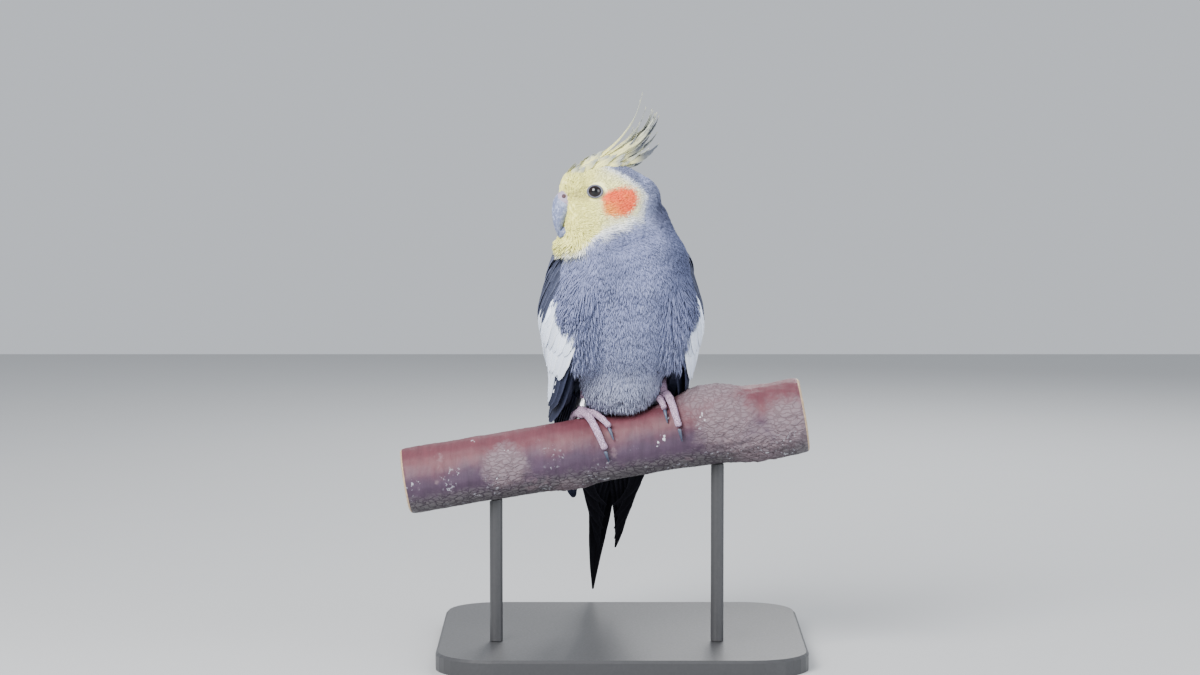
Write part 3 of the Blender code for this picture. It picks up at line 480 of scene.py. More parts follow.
head_rows = [(row[0], row[3], (row[1] - row[2]) / 2.0, (row[1] + row[2]) / 2.0)
             for row in HEAD_SECTIONS]
head_form = extruded_form("head_form", refined(head_rows, 36))
axes = np.eye(4)
axes[:3, 0] = HEAD_LEFT
axes[:3, 1] = UP
axes[:3, 2] = HEAD_FORWARD
axes[:3, 3] = in_scene(HEAD_CENTRE)
head_form.matrix_world = Matrix(axes.tolist())
bpy.ops.object.transform_apply(location=True, rotation=True, scale=True)
pick(body_form)
head_form.select_set(True)
bpy.ops.object.join()
skin = bpy.context.object
apply_modifier(skin, "REMESH", mode="VOXEL", voxel_size=SKIN_VOXEL)
apply_modifier(skin, "SMOOTH", factor=0.5, iterations=8)
print("skin faces after the remesh", len(skin.data.polygons))

# %% [markdown]
# ## Room for the coat
# The solids show the bird out to the tips of its feathers, so the skin is drawn inwards by
# the coat's depth: little on the face, where the feathers are short, and more on the body.

# %% Draw the skin inwards and unwrap it
CORE_LOW = np.array((0.0, 4.0, 18.0))
CORE_HIGH = np.array((-4.0, -7.0, 96.0))
CORE_RADIUS = 22.0
UNWRAP_WIDTH = 1.06


def vertex_array(mesh, attribute="co"):
    """Vertex positions or normals as one array."""
    source = mesh.vertices if attribute == "co" else mesh.vertex_normals
    values = np.empty(len(source) * 3)
    source.foreach_get("co" if attribute == "co" else "vector", values)
    return values.reshape(-1, 3)


def face_share(points):
    """1 on the face and crown, 0 on the neck and body."""
    local = to_head(points)
    return ease(local[:, 0], -16.0, -4.0) * ease(local[:, 2] + 0.3 * local[:, 0], -17.0, -9.0)


def unwrap(points):
    """Map coordinates of points of the bird: round a core line, and along it."""
    line = CORE_HIGH - CORE_LOW
    length = np.linalg.norm(line)
    axis = line / length
    side = unit(np.cross(axis, (0.0, 1.0, 0.0)))
    front = np.cross(side, axis)
    away = points - CORE_LOW
    along = away @ axis
    right = away @ side
    ahead = away @ front
    around = np.arctan2(right, ahead) / (2.0 * math.pi) + 0.5
    beyond = np.where(along < 0.0, along, np.maximum(along - length, 0.0))
    polar = np.arctan2(beyond, np.hypot(right, ahead)) * CORE_RADIUS
    reach = CORE_RADIUS * math.pi / 2.0
    height = (np.clip(along, 0.0, length) + polar + reach) / (length + 2.0 * reach)
    return np.stack((around, height), axis=-1)


points = in_bird(vertex_array(skin.data))
normals = vertex_array(skin.data, "normal")
depth = BODY_COAT + (FACE_COAT - BODY_COAT) * face_share(points)
skin.data.vertices.foreach_set("co", in_scene(points - normals * depth[:, None]).ravel())
apply_modifier(skin, "SMOOTH", factor=0.4, iterations=3)
skin.data.shade_smooth()
paint(skin, skin_finish)

corner_vertices = np.empty(len(skin.data.loops), int)
skin.data.loops.foreach_get("vertex_index", corner_vertices)
corner_map = unwrap(in_bird(vertex_array(skin.data)))[corner_vertices]
for face in skin.data.polygons:
    corners = slice(face.loop_start, face.loop_start + face.loop_total)
    around = corner_map[corners, 0]
    if around.max() - around.min() > 0.5:
        around[around < 0.5] += 1.0
corner_map[:, 0] = np.minimum(corner_map[:, 0] / UNWRAP_WIDTH, 1.0)
layer = skin.data.uv_layers.new(name="OFBake")
layer.data.foreach_set("uv", corner_map.ravel())
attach(skin, "root")
for node in ("head", "neck", "torso"):
    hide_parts(node)
print("skin triangles", triangles(skin))

# %% [markdown]
# ## How the coat lies
# Contour feathers point away from the bill over the head and then run down the neck, breast
# and back. The direction at any point is found first, then flattened into the skin there.
# Roots are scattered over the skin by area and thinned to one per small cell, so that no two
# grow from one spot, and are left out where the wings, the bill or the eyes cover the skin.

# %% Roots, normals and directions over the skin
EYE_PLACE = (12.1, 13.1, 6.4)
EYE_RADIUS = 3.2
EYE_TURN = math.radians(24.0)
EYE_CLEARANCE = 4.7
BILL_REACH = 22.0
WING_TOP = 78.0
BILL_ROOT = from_head(24.0, 0.0, -4.0)
random_source = np.random.default_rng(29)


def tree_of(piece):
    """A search tree over a mesh object's surface, in metres."""
    mesh = piece.data
    return BVHTree.FromPolygons([tuple(v.co) for v in mesh.vertices],
                                [tuple(p.vertices) for p in mesh.polygons])


def coat_direction(points, normals):
    """Unit directions in which feathers lie at points of the bird."""
    local = to_head(points)
    over_head = unit(points - BILL_ROOT)
    behind = ease(-local[:, 0], 4.0, 22.0)[:, None]
    over_head = unit(over_head * (1.0 - behind) + np.array((0.25, 0.15, -1.0)) * behind)
    centre = points[:, 0] + 2.0
    down = np.stack((centre * 0.006, np.full(len(points), 0.10), np.full(len(points), -1.0)),
                    axis=-1)
    low = ease(-points[:, 2], -26.0, -8.0)[:, None]
    down = down + low * np.array((0.0, 0.9, 0.2))
    rear = ease(points[:, 1], 8.0, 24.0)[:, None]
    down = unit(down + rear * np.array((0.05, 0.55, 0.0)))
    on_head = ease(points[:, 2], 68.0, 86.0)[:, None]
    way = over_head * on_head + down * (1.0 - on_head)
    flat = way - normals * np.sum(way * normals, axis=-1, keepdims=True)
    return unit(flat)


def scatter(count, cell_of, keep):
    """Roots and normals spread over the skin by area, one per cell of the given size."""
    mesh = skin.data
    mesh.calc_loop_triangles()
    corners = np.empty(len(mesh.loop_triangles) * 3, int)
    mesh.loop_triangles.foreach_get("vertices", corners)
    corners = corners.reshape(-1, 3)
    places = in_bird(vertex_array(mesh))
    turned = vertex_array(mesh, "normal")
    first, second, third = (places[corners[:, side]] for side in range(3))
    areas = np.linalg.norm(np.cross(second - first, third - first), axis=-1)
    chosen = random_source.choice(len(corners), count, p=areas / areas.sum())
    share = random_source.random((count, 2))
    share[share.sum(axis=1) > 1.0] = 1.0 - share[share.sum(axis=1) > 1.0]
    weights = np.stack((1.0 - share.sum(axis=1), share[:, 0], share[:, 1]), axis=-1)
    roots = np.einsum("ij,ijk->ik", weights, places[corners[chosen]])
    normals = unit(np.einsum("ij,ijk->ik", weights, turned[corners[chosen]]))
    inside = keep(roots)
    roots, normals = roots[inside], normals[inside]
    cells = np.floor(roots / cell_of(roots)[:, None]).astype(int)
    single = np.unique(cells, axis=0, return_index=True)[1]
    return roots[single], normals[single]


eye_centres = [from_head(EYE_PLACE[0], side * EYE_PLACE[1], EYE_PLACE[2]) for side in (1, -1)]
wing_trees = [tree_of(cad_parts[name]) for name in ("wing_left", "wing_right")]
bill_trees = [tree_of(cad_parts[name]) for name in ("bill_upper", "bill_lower")]
perch_tree = tree_of(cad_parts["perch"])


def covered_by_wing(root, normal):
    """Whether a wing lies over a root whichever way one looks out of the body."""
    start = Vector(in_scene(root)) + Vector(normal) * 0.0004
    for lean in ((0, 0, 0), (0, 0, 0.5), (0, -0.55, 0), (0, 0.5, 0), (0, 0, -0.5)):
        way = (Vector(normal) + Vector(lean)).normalized()
        if not any(tree.ray_cast(start, way, 0.03)[0] for tree in wing_trees):
            return False
    return True


def room_before(tree, root, way, length):
    """How far a feather may reach along a way before it meets a surface."""
    start = Vector(in_scene(root)) + Vector(way) * 0.0002
    hit = tree.ray_cast(start, Vector(way), length * MM)
    return length if hit[0] is None else max(hit[3] / MM, 0.0)


print("eye distance", round(float(np.linalg.norm(eye_centres[0] - eye_centres[1])), 2), "mm")

# %% [markdown]
# ## One contour feather
# A body feather of a cockatiel is a small stem with soft barbs that part at the end. Here it
# is a fan of narrow closed blades from one root: each blade has a raised middle, curves with
# the body and ends in a point. All blades of a region become one mesh, written from arrays.

# %% Build the blades of a coat as arrays
BLADE_STATIONS = (0.0, 0.4, 0.78)
BLADE_WIDTHS = (0.55, 1.0, 0.72)
BODY_CURVE = 1.0 / 62.0
PATCH = 0.0028
LARGEST_PIECE = 190000


def blade_arrays(roots, normals, ways, lengths, widths, rises, tones, hooks, feather_roots):
    """Vertices, faces and the values each vertex carries, for many blades at once."""
    count = len(roots)
    sides = unit(np.cross(ways, normals))
    rings = []
    for share, width in zip(BLADE_STATIONS, BLADE_WIDTHS):
        reach = (lengths * share)[:, None]
        lift = rises * (1.0 - (1.0 - share) ** 2) - (lengths * share) ** 2 * BODY_CURVE
        middle = roots + ways * reach + normals * (lift - 0.35 * (1.0 - share))[:, None]
        half = (widths * width * 0.5)[:, None]
        rings.append(middle - sides * half)
        rings.append(middle + normals * (0.07 + 0.09 * widths)[:, None])
        rings.append(middle + sides * half)
    tip_lift = rises - lengths ** 2 * BODY_CURVE
    tips = roots + ways * lengths[:, None] + normals * tip_lift[:, None]
    tips = tips + sides * (hooks * lengths)[:, None]
    rings.append(tips)
    vertices = np.stack(rings, axis=1)
    faces = []
    for row in range(len(BLADE_STATIONS) - 1):
        left, top, right = 3 * row, 3 * row + 1, 3 * row + 2
        for a, b in ((left, top), (top, right), (right, left)):
            faces.append((a, b, b + 3))
            faces.append((a, b + 3, a + 3))
    tip = 3 * len(BLADE_STATIONS)
    left, top, right = tip - 3, tip - 2, tip - 1
    faces += [(left, top, tip), (top, right, tip), (right, left, tip), (0, 2, 1)]
    faces = np.array(faces)
    corners = (np.arange(count)[:, None, None] * (tip + 1) + faces[None]).reshape(-1, 3)
    along = np.array([share for share in BLADE_STATIONS for _ in range(3)] + [1.0])
    values = {"along": np.tile(along, count), "tone": np.repeat(tones, tip + 1),
              "root_place": np.repeat(in_scene(feather_roots), tip + 1, axis=0)}
    return vertices.reshape(-1, 3), corners, values


def mesh_from_arrays(name, vertices, corners, values, map_points, materials, slots=None):
    """One mesh object from arrays, with its point values and its OFBake map."""
    mesh = bpy.data.meshes.new(name)
    mesh.vertices.add(len(vertices))
    mesh.vertices.foreach_set("co", in_scene(vertices).ravel())
    mesh.loops.add(corners.size)
    mesh.loops.foreach_set("vertex_index", corners.ravel())
    mesh.polygons.add(len(corners))
    size = corners.shape[1]
    mesh.polygons.foreach_set("loop_start", np.arange(len(corners)) * size)
    mesh.polygons.foreach_set("loop_total", np.full(len(corners), size))
    for key, value in values.items():
        kind = "FLOAT_VECTOR" if value.ndim == 2 else "FLOAT"
        layer = mesh.attributes.new(key, kind, "POINT")
        layer.data.foreach_set("vector" if value.ndim == 2 else "value", value.ravel())
    layer = mesh.uv_layers.new(name="OFBake")
    layer.data.foreach_set("uv", map_points.ravel())
    for material in materials:
        mesh.materials.append(material)
    if slots is not None:
        mesh.polygons.foreach_set("material_index", slots)
    mesh.update(calc_edges=True)
    mesh.validate()
    piece = linked(name, mesh)
    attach(piece, "root")
    return piece


def blade_patches(places, count):
    """Each corner's place on the map: a small patch at its feather's root."""
    tip = 3 * len(BLADE_STATIONS)
    spots = [(side, share) for share in BLADE_STATIONS for side in (-0.5, 0.0, 0.5)]
    spots.append((0.0, 1.0))
    spots = np.array(spots) * PATCH
    centres = unwrap(places)
    centres[:, 0] = centres[:, 0] / UNWRAP_WIDTH
    centres = np.clip(centres, 0.004, 0.992)
    return np.repeat(centres, tip + 1, axis=0) + np.tile(spots, (count, 1))


def grow_coat(name, roots, normals, ways, lengths, widths, rises, fan, spread_angle):
    """Fans of blades at the given roots, split into pieces of a limited size."""
    count = len(roots)
    fans = np.linspace(-1.0, 1.0, fan)
    feather = np.repeat(np.arange(count), fan)
    spread = np.tile(fans, count)
    angle = np.radians(spread * spread_angle + random_source.normal(0.0, 4.0, len(spread)))
    side = unit(np.cross(ways, normals))
    blade_ways = unit(ways[feather] * np.cos(angle)[:, None] + side[feather]
                      * np.sin(angle)[:, None])
    shorter = 1.0 - 0.22 * np.abs(spread) ** 1.5 - 0.12 * random_source.random(len(spread))
    start = roots[feather] + side[feather] * (spread * widths[feather] * 0.35)[:, None]
    tones = np.clip(random_source.normal(0.5, 0.17, count)[feather]
                    + random_source.normal(0.0, 0.12, len(spread)), 0.0, 1.0)
    hooks = random_source.normal(0.0, 0.035, len(spread))
    arrays = (start, normals[feather], blade_ways, lengths[feather] * shorter,
              widths[feather] * (0.8 + 0.4 * random_source.random(len(spread))),
              rises[feather] * (0.8 + 0.4 * random_source.random(len(spread))), tones, hooks,
              roots[feather])
    per_blade = 6 * (len(BLADE_STATIONS) - 1) + 4
    limit = LARGEST_PIECE // per_blade
    order = np.argsort(-start[:, 2], kind="stable")
    parts = max(1, math.ceil(len(order) / limit))
    pieces = []
    for number, chosen in enumerate(np.array_split(order, parts), start=1):
        vertices, corners, values = blade_arrays(*[value[chosen] for value in arrays])
        patches = blade_patches(roots[feather][chosen], len(chosen))[corners.ravel()]
        title = name if parts == 1 else "%s_%d" % (name, number)
        pieces.append(mesh_from_arrays(title, vertices, corners, values, patches,
                                       [coat_finish.material]))
    print(name, "feathers", count, "blades", len(order), "triangles",
          sum(triangles(piece) for piece in pieces))


print("one blade has", 3 * len(BLADE_STATIONS) + 1, "vertices")

# %% [markdown]
# ## The coat of the face and of the body
# The feathers are shortest round the bill and the eyes, where they are about as long as a
# grain of rice is wide, and longest on the breast and the flanks. Their length, width and
# height off the skin follow from where the root lies.

# %% Grow the coat
CANDIDATES = 60000
FACE_CELL = 0.95
BODY_CELL = 1.35
FACE_SHORTEST, FACE_GROWTH = 1.7, 2.6
FOREHEAD_LONGER, CHIN_LONGER, JAW_LONGER = 1.2, 3.4, 1.8
BODY_LONGEST, NECK_SHORTER, BACK_SHORTER = 9.6, 4.9, 1.2
FLANK_LONGER, SKIRT_LONGER = 5.0, 2.0


def is_face(points):
    return face_share(points) > 0.5


def clear_of_bill(points):
    """Roots outside the bill and off its base."""
    kept = np.ones(len(points), bool)
    for index, point in enumerate(points):
        for tree in bill_trees:
            near, normal, _, distance = tree.find_nearest(Vector(in_scene(point)))
            outside = (Vector(in_scene(point)) - near).dot(normal)
            if outside < 0.0 or distance < 0.0006:
                kept[index] = False
    return kept


def steered(ways, other, most, share):
    """Directions turned towards another one by a share of the most that they may turn."""
    return unit(ways * (1.0 - most * share[:, None]) + other * most * share[:, None])


def prepare(roots, normals):
    """Drops covered roots and returns the rest with their directions."""
    kept = np.ones(len(roots), bool)
    for centre in eye_centres:
        kept &= np.linalg.norm(roots - centre, axis=1) > EYE_CLEARANCE
    near_bill = np.linalg.norm(roots - BILL_ROOT, axis=1) < BILL_REACH
    kept[near_bill] &= clear_of_bill(roots[near_bill])
    body = np.flatnonzero(kept & (roots[:, 2] < WING_TOP))
    for index in body:
        if covered_by_wing(roots[index], normals[index]):
            kept[index] = False
    roots, normals = roots[kept], normals[kept]
    return roots, normals, coat_direction(roots, normals)


face_roots, face_normals, face_ways = prepare(
    *scatter(CANDIDATES, lambda points: np.full(len(points), FACE_CELL), is_face))
local = to_head(face_roots)
from_bill = np.linalg.norm(face_roots - BILL_ROOT, axis=1)
eye_gap = np.min([np.linalg.norm(face_roots - centre, axis=1) for centre in eye_centres], axis=0)
face_lengths = FACE_SHORTEST + FACE_GROWTH * ease(from_bill, 5.0, 24.0)
face_lengths *= 0.55 + 0.45 * ease(eye_gap, 5.2, 10.0)
forehead = (ease(local[:, 0], 15.0, 20.0) * ease(local[:, 2], 2.0, 6.0)
            * ease(-local[:, 2], -13.0, -10.0))
chin = ease(local[:, 0], 13.0, 19.0) * ease(-local[:, 2], 10.0, 15.0)
jaw = ease(-local[:, 2], 5.0, 12.0) * ease(eye_gap, 8.0, 12.0)
face_lengths += FOREHEAD_LONGER * forehead + CHIN_LONGER * chin + JAW_LONGER * jaw
face_rises = 0.22 + face_lengths * 0.11 + 0.5 * forehead + 0.5 * chin
face_ways = steered(face_ways, unit(HEAD_FORWARD * 0.75 - UP * 0.85), 0.9, chin)
face_lengths *= random_source.uniform(0.85, 1.15, len(face_lengths))
grow_coat("coat_face", face_roots, face_normals, face_ways, face_lengths,
          0.30 + face_lengths * 0.05, face_rises, 4, 20.0)

body_roots, body_normals, body_ways = prepare(
    *scatter(CANDIDATES, lambda points: BODY_CELL + 0.5 * ease(-points[:, 2], -84.0, -60.0),
             lambda points: ~is_face(points)))
high = ease(body_roots[:, 2], 66.0, 92.0)
rear = ease(body_roots[:, 1], 6.0, 22.0)
body_lengths = BODY_LONGEST - NECK_SHORTER * high - BACK_SHORTER * rear
turned_x = body_roots[:, 0] * math.cos(BODY_YAW) + body_roots[:, 1] * math.sin(BODY_YAW)
flank = (ease(np.abs(turned_x), 13.0, 22.0) * ease(body_roots[:, 2], 22.0, 32.0)
         * ease(-body_roots[:, 2], -70.0, -54.0) * ease(-body_roots[:, 1], -10.0, 2.0))
skirt = ease(-body_roots[:, 2], -24.0, -10.0) * ease(-body_roots[:, 1], -6.0, 6.0)
body_lengths += FLANK_LONGER * flank + SKIRT_LONGER * skirt
body_rises = 0.45 + 0.11 * body_lengths - 0.4 * rear + 3.4 * flank + 0.8 * skirt
outward = np.stack((np.sign(turned_x), np.zeros(len(turned_x)), np.full(len(turned_x), -2.4)),
                   axis=-1)
body_ways = steered(body_ways, unit(outward), 0.7, flank)
body_ways = steered(body_ways, np.array((0.0, -0.10, -1.0)), 0.85, skirt)
body_lengths *= random_source.uniform(0.8, 1.2, len(body_lengths))
for index in np.flatnonzero(body_roots[:, 2] < 26.0):
    room = room_before(perch_tree, body_roots[index], body_ways[index], body_lengths[index])
    body_lengths[index] = max(room * 0.9, 2.0)
grow_coat("coat_body", body_roots, body_normals, body_ways, body_lengths,
          0.34 + body_lengths * 0.035, body_rises, 7, 17.0)

# %% [markdown]
# ## Large feathers
# A flight feather is a thin vane on a shaft: narrow at the root, widest past the middle, with
# an uneven edge where barbs part. One function builds such a vane from a curve of points with
# a normal at each, closes it as a thin plate with a raised shaft, and many vanes are joined
# into one wing, in tiers like roof tiles.

# %% One vane from a curve
VANE_COLUMNS = (-1.0, -0.62, -0.10, 0.0, 0.10, 0.62, 1.0)
VANE_THICK = 0.34
SHAFT_RISE = 0.20


def ring_faces(rows, size):
    """Four-sided faces between closed rings of points that follow each other."""
    return [(row * size + column, row * size + (column + 1) % size,
             (row + 1) * size + (column + 1) % size, (row + 1) * size + column)
            for row in range(rows - 1) for column in range(size)]


class FeatherSet:
    """Collects many vanes and writes them as one mesh."""

    def __init__(self, seed):
        self.vertices = []
        self.faces = []
        self.slots = []
        self.values = {"along": [], "across": [], "tone": []}
        self.sizes = []
        self.count = 0
        self.draw = np.random.default_rng(seed)

    def add_vane(self, points, normals, widths, slot, camber=0.16, thick=VANE_THICK,
                 ragged=0.05, tone=None):
        """A closed plate along points; widths are half widths, camber bends it across."""
        points = np.asarray(points, float)
        widths = np.asarray(widths, float)
        rows = len(points)
        tangents = unit(np.gradient(points, axis=0))
        normals = unit(normals - tangents * np.sum(normals * tangents, axis=1)[:, None])
        sides = np.cross(tangents, normals)
        columns = len(VANE_COLUMNS)
        drawn = float(np.clip(self.draw.normal(0.5, 0.16), 0.0, 1.0))
        tone = drawn if tone is None else tone
        top = []
        low = []
        for row in range(rows):
            share = row / (rows - 1)
            for across in VANE_COLUMNS:
                jag = 1.0 + ragged * self.draw.normal() * abs(across) ** 3 * (share > 0.15)
                reach = across * widths[row] * jag
                slip = 0.5 * across ** 2 * widths[row] if share > 0.2 else 0.0
                bend = -camber * across * across * widths[row]
                ridge = SHAFT_RISE * (1.0 - 0.75 * share) if across == 0.0 else 0.0
                place = points[row] + sides[row] * reach + normals[row] * bend
                place = place - tangents[row] * slip
                edge = 0.5 * thick * (1.0 - 0.45 * abs(across) ** 4)
                top.append(place + normals[row] * (edge + ridge))
                low.append(place - normals[row] * edge)
                self.values["along"].append(share)
                self.values["across"].append(across)
        base = sum(len(block) for block in self.vertices)
        self.vertices.append(np.array(top + low))
        size = rows * columns
        self.values["along"] += self.values["along"][-size:]
        self.values["across"] += self.values["across"][-size:]
        self.values["tone"] += [tone] * (2 * size)
        faces = []
        for row in range(rows - 1):
            for column in range(columns - 1):
                a = row * columns + column
                b = a + 1
                faces.append((a, b, b + columns, a + columns))
                faces.append((a + size, a + columns + size, b + columns + size, b + size))
            for column, flip in ((0, True), (columns - 1, False)):
                a = row * columns + column
                edge = (a, a + size, a + columns + size, a + columns)
                faces.append(edge[::-1] if flip else edge)
        for row, flip in ((0, False), (rows - 1, True)):
            for column in range(columns - 1):
                a = row * columns + column
                edge = (a, a + size, a + 1 + size, a + 1)
                faces.append(edge[::-1] if flip else edge)
        self.faces += [tuple(index + base for index in face) for face in faces]
        self.slots += [slot] * len(faces)
        self.sizes.append(2 * size)
        self.count += 1

    def add_form(self, rings, slot, mirrored=False):
        """A closed bed through rings; both ends are closed with strips of four-sided faces."""
        rows, size = rings.shape[:2]
        base = sum(len(block) for block in self.vertices)
        faces = ring_faces(rows, size)
        last = (rows - 1) * size
        for column in range(size // 2 - 1):
            across = (column, column + 1, size - 2 - column, size - 1 - column)
            faces.append(across[::-1])
            faces.append(tuple(last + index for index in across))
        if mirrored:
            faces = [face[::-1] for face in faces]
        self.vertices.append(rings.reshape(-1, 3))
        self.faces += [tuple(index + base for index in face) for face in faces]
        count = rows * size
        self.values["along"] += [row / (rows - 1) for row in range(rows) for _ in range(size)]
        self.values["across"] += [0.5] * count
        self.values["tone"] += [0.4] * count
        self.slots += [slot] * len(faces)
        self.sizes.append(count)

    def write(self, name, materials):
        """One object from all vanes; each vane has a cell of its own on the map."""
        vertices = np.concatenate(self.vertices)
        corners = np.array(self.faces)
        across_count = math.ceil(math.sqrt(len(self.sizes)))
        step = 1.0 / across_count
        owners = np.repeat(np.arange(len(self.sizes)), self.sizes)
        column, row = owners % across_count, owners // across_count
        along = np.array(self.values["along"])
        across = np.array(self.values["across"])
        place = np.stack(((column + 0.08 + 0.84 * (across + 1.0) / 2.0) * step,
                          (row + 0.08 + 0.84 * along) * step), axis=-1)
        values = {key: np.array(value) for key, value in self.values.items()}
        piece = mesh_from_arrays(name, vertices, corners, values, place[corners.ravel()],
                                 materials, np.array(self.slots))
        piece.data.shade_smooth()
        pick(piece)
        bpy.ops.object.shade_smooth_by_angle(angle=math.radians(50.0))
        print(name, "vanes", self.count, "triangles", triangles(piece))
        return piece


print("one vane has", len(VANE_COLUMNS), "columns of vertices")

# %% [markdown]
# ## Finishes of the large feathers
# Barbs leave the shaft at a slant, so fine ridges run across each vane, and the shaft and the
# edges are a little paler or darker. The wing is slate above, white in its large patch and
# nearly black on the flight feathers, the tail is blackest of all.

# %% Vane finishes
VANE_COLOURS = {
    "wing_slate": ((0.042, 0.049, 0.085), (0.085, 0.096, 0.15), (0.03, 0.033, 0.055), 0.15),
    "wing_white": ((0.72, 0.80, 0.96), (0.84, 0.90, 0.99), (0.60, 0.67, 0.80), 0.15),
    "wing_dove": ((0.075, 0.085, 0.145), (0.125, 0.14, 0.215), (0.055, 0.062, 0.10), 0.15),
    "wing_flight": ((0.020, 0.025, 0.052), (0.045, 0.052, 0.095), (0.012, 0.013, 0.02), 0.15),
    "tail_black": ((0.006, 0.006, 0.009), (0.014, 0.014, 0.020), (0.003, 0.003, 0.004), 0.06),
    "tail_slate": ((0.040, 0.046, 0.078), (0.075, 0.083, 0.13), (0.012, 0.013, 0.020), 0.15)}
BARB_DEPTH = 0.35


def vane_finish(name, base, edge, shaft, gloss):
    """A feather's own colours: base, edge and shaft, with slanted barbs."""
    finish = Finish(name, Specular_IOR_Level=gloss)
    along = finish.attribute("along")
    across = finish.attribute("across")
    tone = finish.attribute("tone")
    away = finish.size_of(across)
    place = finish.place()
    streak = finish.noise(place, 900.0, 3.0)
    slant = (along * 9.0 - away * 1.4) * 42.0
    ridges = finish.math("SINE", slant + tone * 20.0 + streak * 3.0)
    colour = finish.blend(finish.step(away + (streak - 0.5) * 0.5, 0.62, 1.0), base, edge)
    colour = finish.blend(1 - finish.step(away, 0.02, 0.09), colour, shaft)
    light = 0.86 + (tone - 0.5) * 0.5 + ridges * 0.05 + streak * 0.16
    finish.colour(finish.shaded(colour, light))
    finish.roughness(0.6 + streak * 0.25)
    finish.bump(ridges * 0.5 + streak, 0.00016, BARB_DEPTH)
    return finish.material


wing_slate, wing_white, wing_dove, wing_flight, tail_black, tail_slate = [
    vane_finish(name, *colours) for name, colours in VANE_COLOURS.items()]
WING_FINISHES = [wing_slate, wing_white, wing_dove, wing_flight]
SLATE, WHITE, GREY, FLIGHT = range(4)
print("vane finishes", [material.name for material in WING_FINISHES])

# %% [markdown]
# ## The folded wings
# The wing lies on a sheet that wraps the body's side. Its sections give a point, an outward
# direction, the roundness and the reach to the front and to the back edge. A feather's root
# dips into the wing and its back edge is lifted, so that the next one tucks under it.

# %% Wings in tiers
# Each section: a point, the way out, the radius, the reach to the front and to the back.
WING = (
    ((24.8, -7.5, 72.0), (0.80, -0.45, 0.40), 26.0, 13.0, 24.0),
    ((30.2, -3.0, 60.0), (0.97, -0.15, 0.20), 31.0, 22.0, 37.0),
    ((35.4, 4.0, 42.0), (1.0, 0.0, 0.05), 35.0, 27.0, 44.0),
    ((29.0, 20.0, 20.0), (0.93, 0.30, 0.20), 32.0, 22.0, 35.0),
    ((25.0, 43.0, -1.0), (0.70, 0.60, 0.38), 28.0, 14.0, 23.0),
    ((19.5, 69.5, -12.5), (0.42, 0.73, 0.53), 34.0, 9.5, 15.0),
    ((14.0, 86.0, -30.5), (0.28, 0.79, 0.55), 60.0, 6.5, 9.0),
    ((9.5, 96.5, -46.0), (0.18, 0.80, 0.57), 60.0, 4.5, 4.5))
WING_ROWS = [(*point, *normal, radius, front, back)
             for point, normal, radius, front, back in WING]
WING_STEPS = np.linalg.norm(np.diff([row[:3] for row in WING_ROWS], axis=0), axis=1)
WING_ALONG = np.concatenate(((0.0,), np.cumsum(WING_STEPS)))
VANE_TILT = math.radians(9.0)
ROOT_DIP = 3.0
STRAIGHT_BULGE = 1.1
FLIGHT_TILT = math.radians(5.0)
# The distances at which the longest and the inner flight feathers end.
PRIMARY_TIPS = (163, 168, 167, 161, 153, 143, 132, 121)
INNER_TIPS = (114, 119, 122, 121, 117, 110, 102)
# Each tier: the distance of its roots and tips, its lift, its half width and its feathers.
COVERT_TIERS = ((34.0, 71.0, 1.0, 4.4, 14), (24.0, 50.0, 2.0, 4.0, 14),
                (16.0, 38.0, 2.6, 3.5, 14), (10.0, 29.0, 2.9, 3.2, 14),
                (4.0, 21.0, 3.1, 3.0, 13), (1.0, 13.0, 3.3, 2.7, 11))
SCAPULAR_TIERS = ((34.0, 92.0, 1.2, 4.8, 8), (24.0, 70.0, 1.9, 4.6, 8),
                  (14.0, 50.0, 2.6, 4.2, 9), (5.0, 34.0, 3.2, 3.6, 9),
                  (0.0, 20.0, 3.7, 3.2, 8))


def turned_body(points):
    """Points or directions turned with the body about the upright axis."""
    points = np.asarray(points, float)
    cosine, sine = math.cos(BODY_YAW), math.sin(BODY_YAW)
    return np.stack((points[..., 0] * cosine - points[..., 1] * sine,
                     points[..., 0] * sine + points[..., 1] * cosine, points[..., 2]), axis=-1)


def wing_row(distance):
    """The wing's section at a distance along its middle line."""
    index = min(max(int(np.searchsorted(WING_ALONG, distance) - 1), 0), len(WING_ROWS) - 2)
    place = index + (distance - WING_ALONG[index]) / WING_STEPS[index]
    return spline(WING_ROWS, place)


def wing_point(sign, distance, share, lift, shift=0.0):
    """A point, its normal and the way to the back edge; share is -1 in front, 1 behind."""
    row = wing_row(distance)
    along = unit(wing_row(distance + 1.0)[:3] - wing_row(distance - 1.0)[:3])
    normal = unit(row[3:6] - along * row[3:6].dot(along))
    side = np.cross(normal, along)
    angle = (share * (row[7] if share < 0.0 else row[8]) + shift) / row[6]
    local = normal * math.cos(angle) + side * math.sin(angle)
    place = row[:3] + local * (row[6] + lift) - normal * row[6]
    back = np.cross(local, along)
    return [turned_body(value * np.array((sign, 1.0, 1.0))) for value in (place, local, back)]


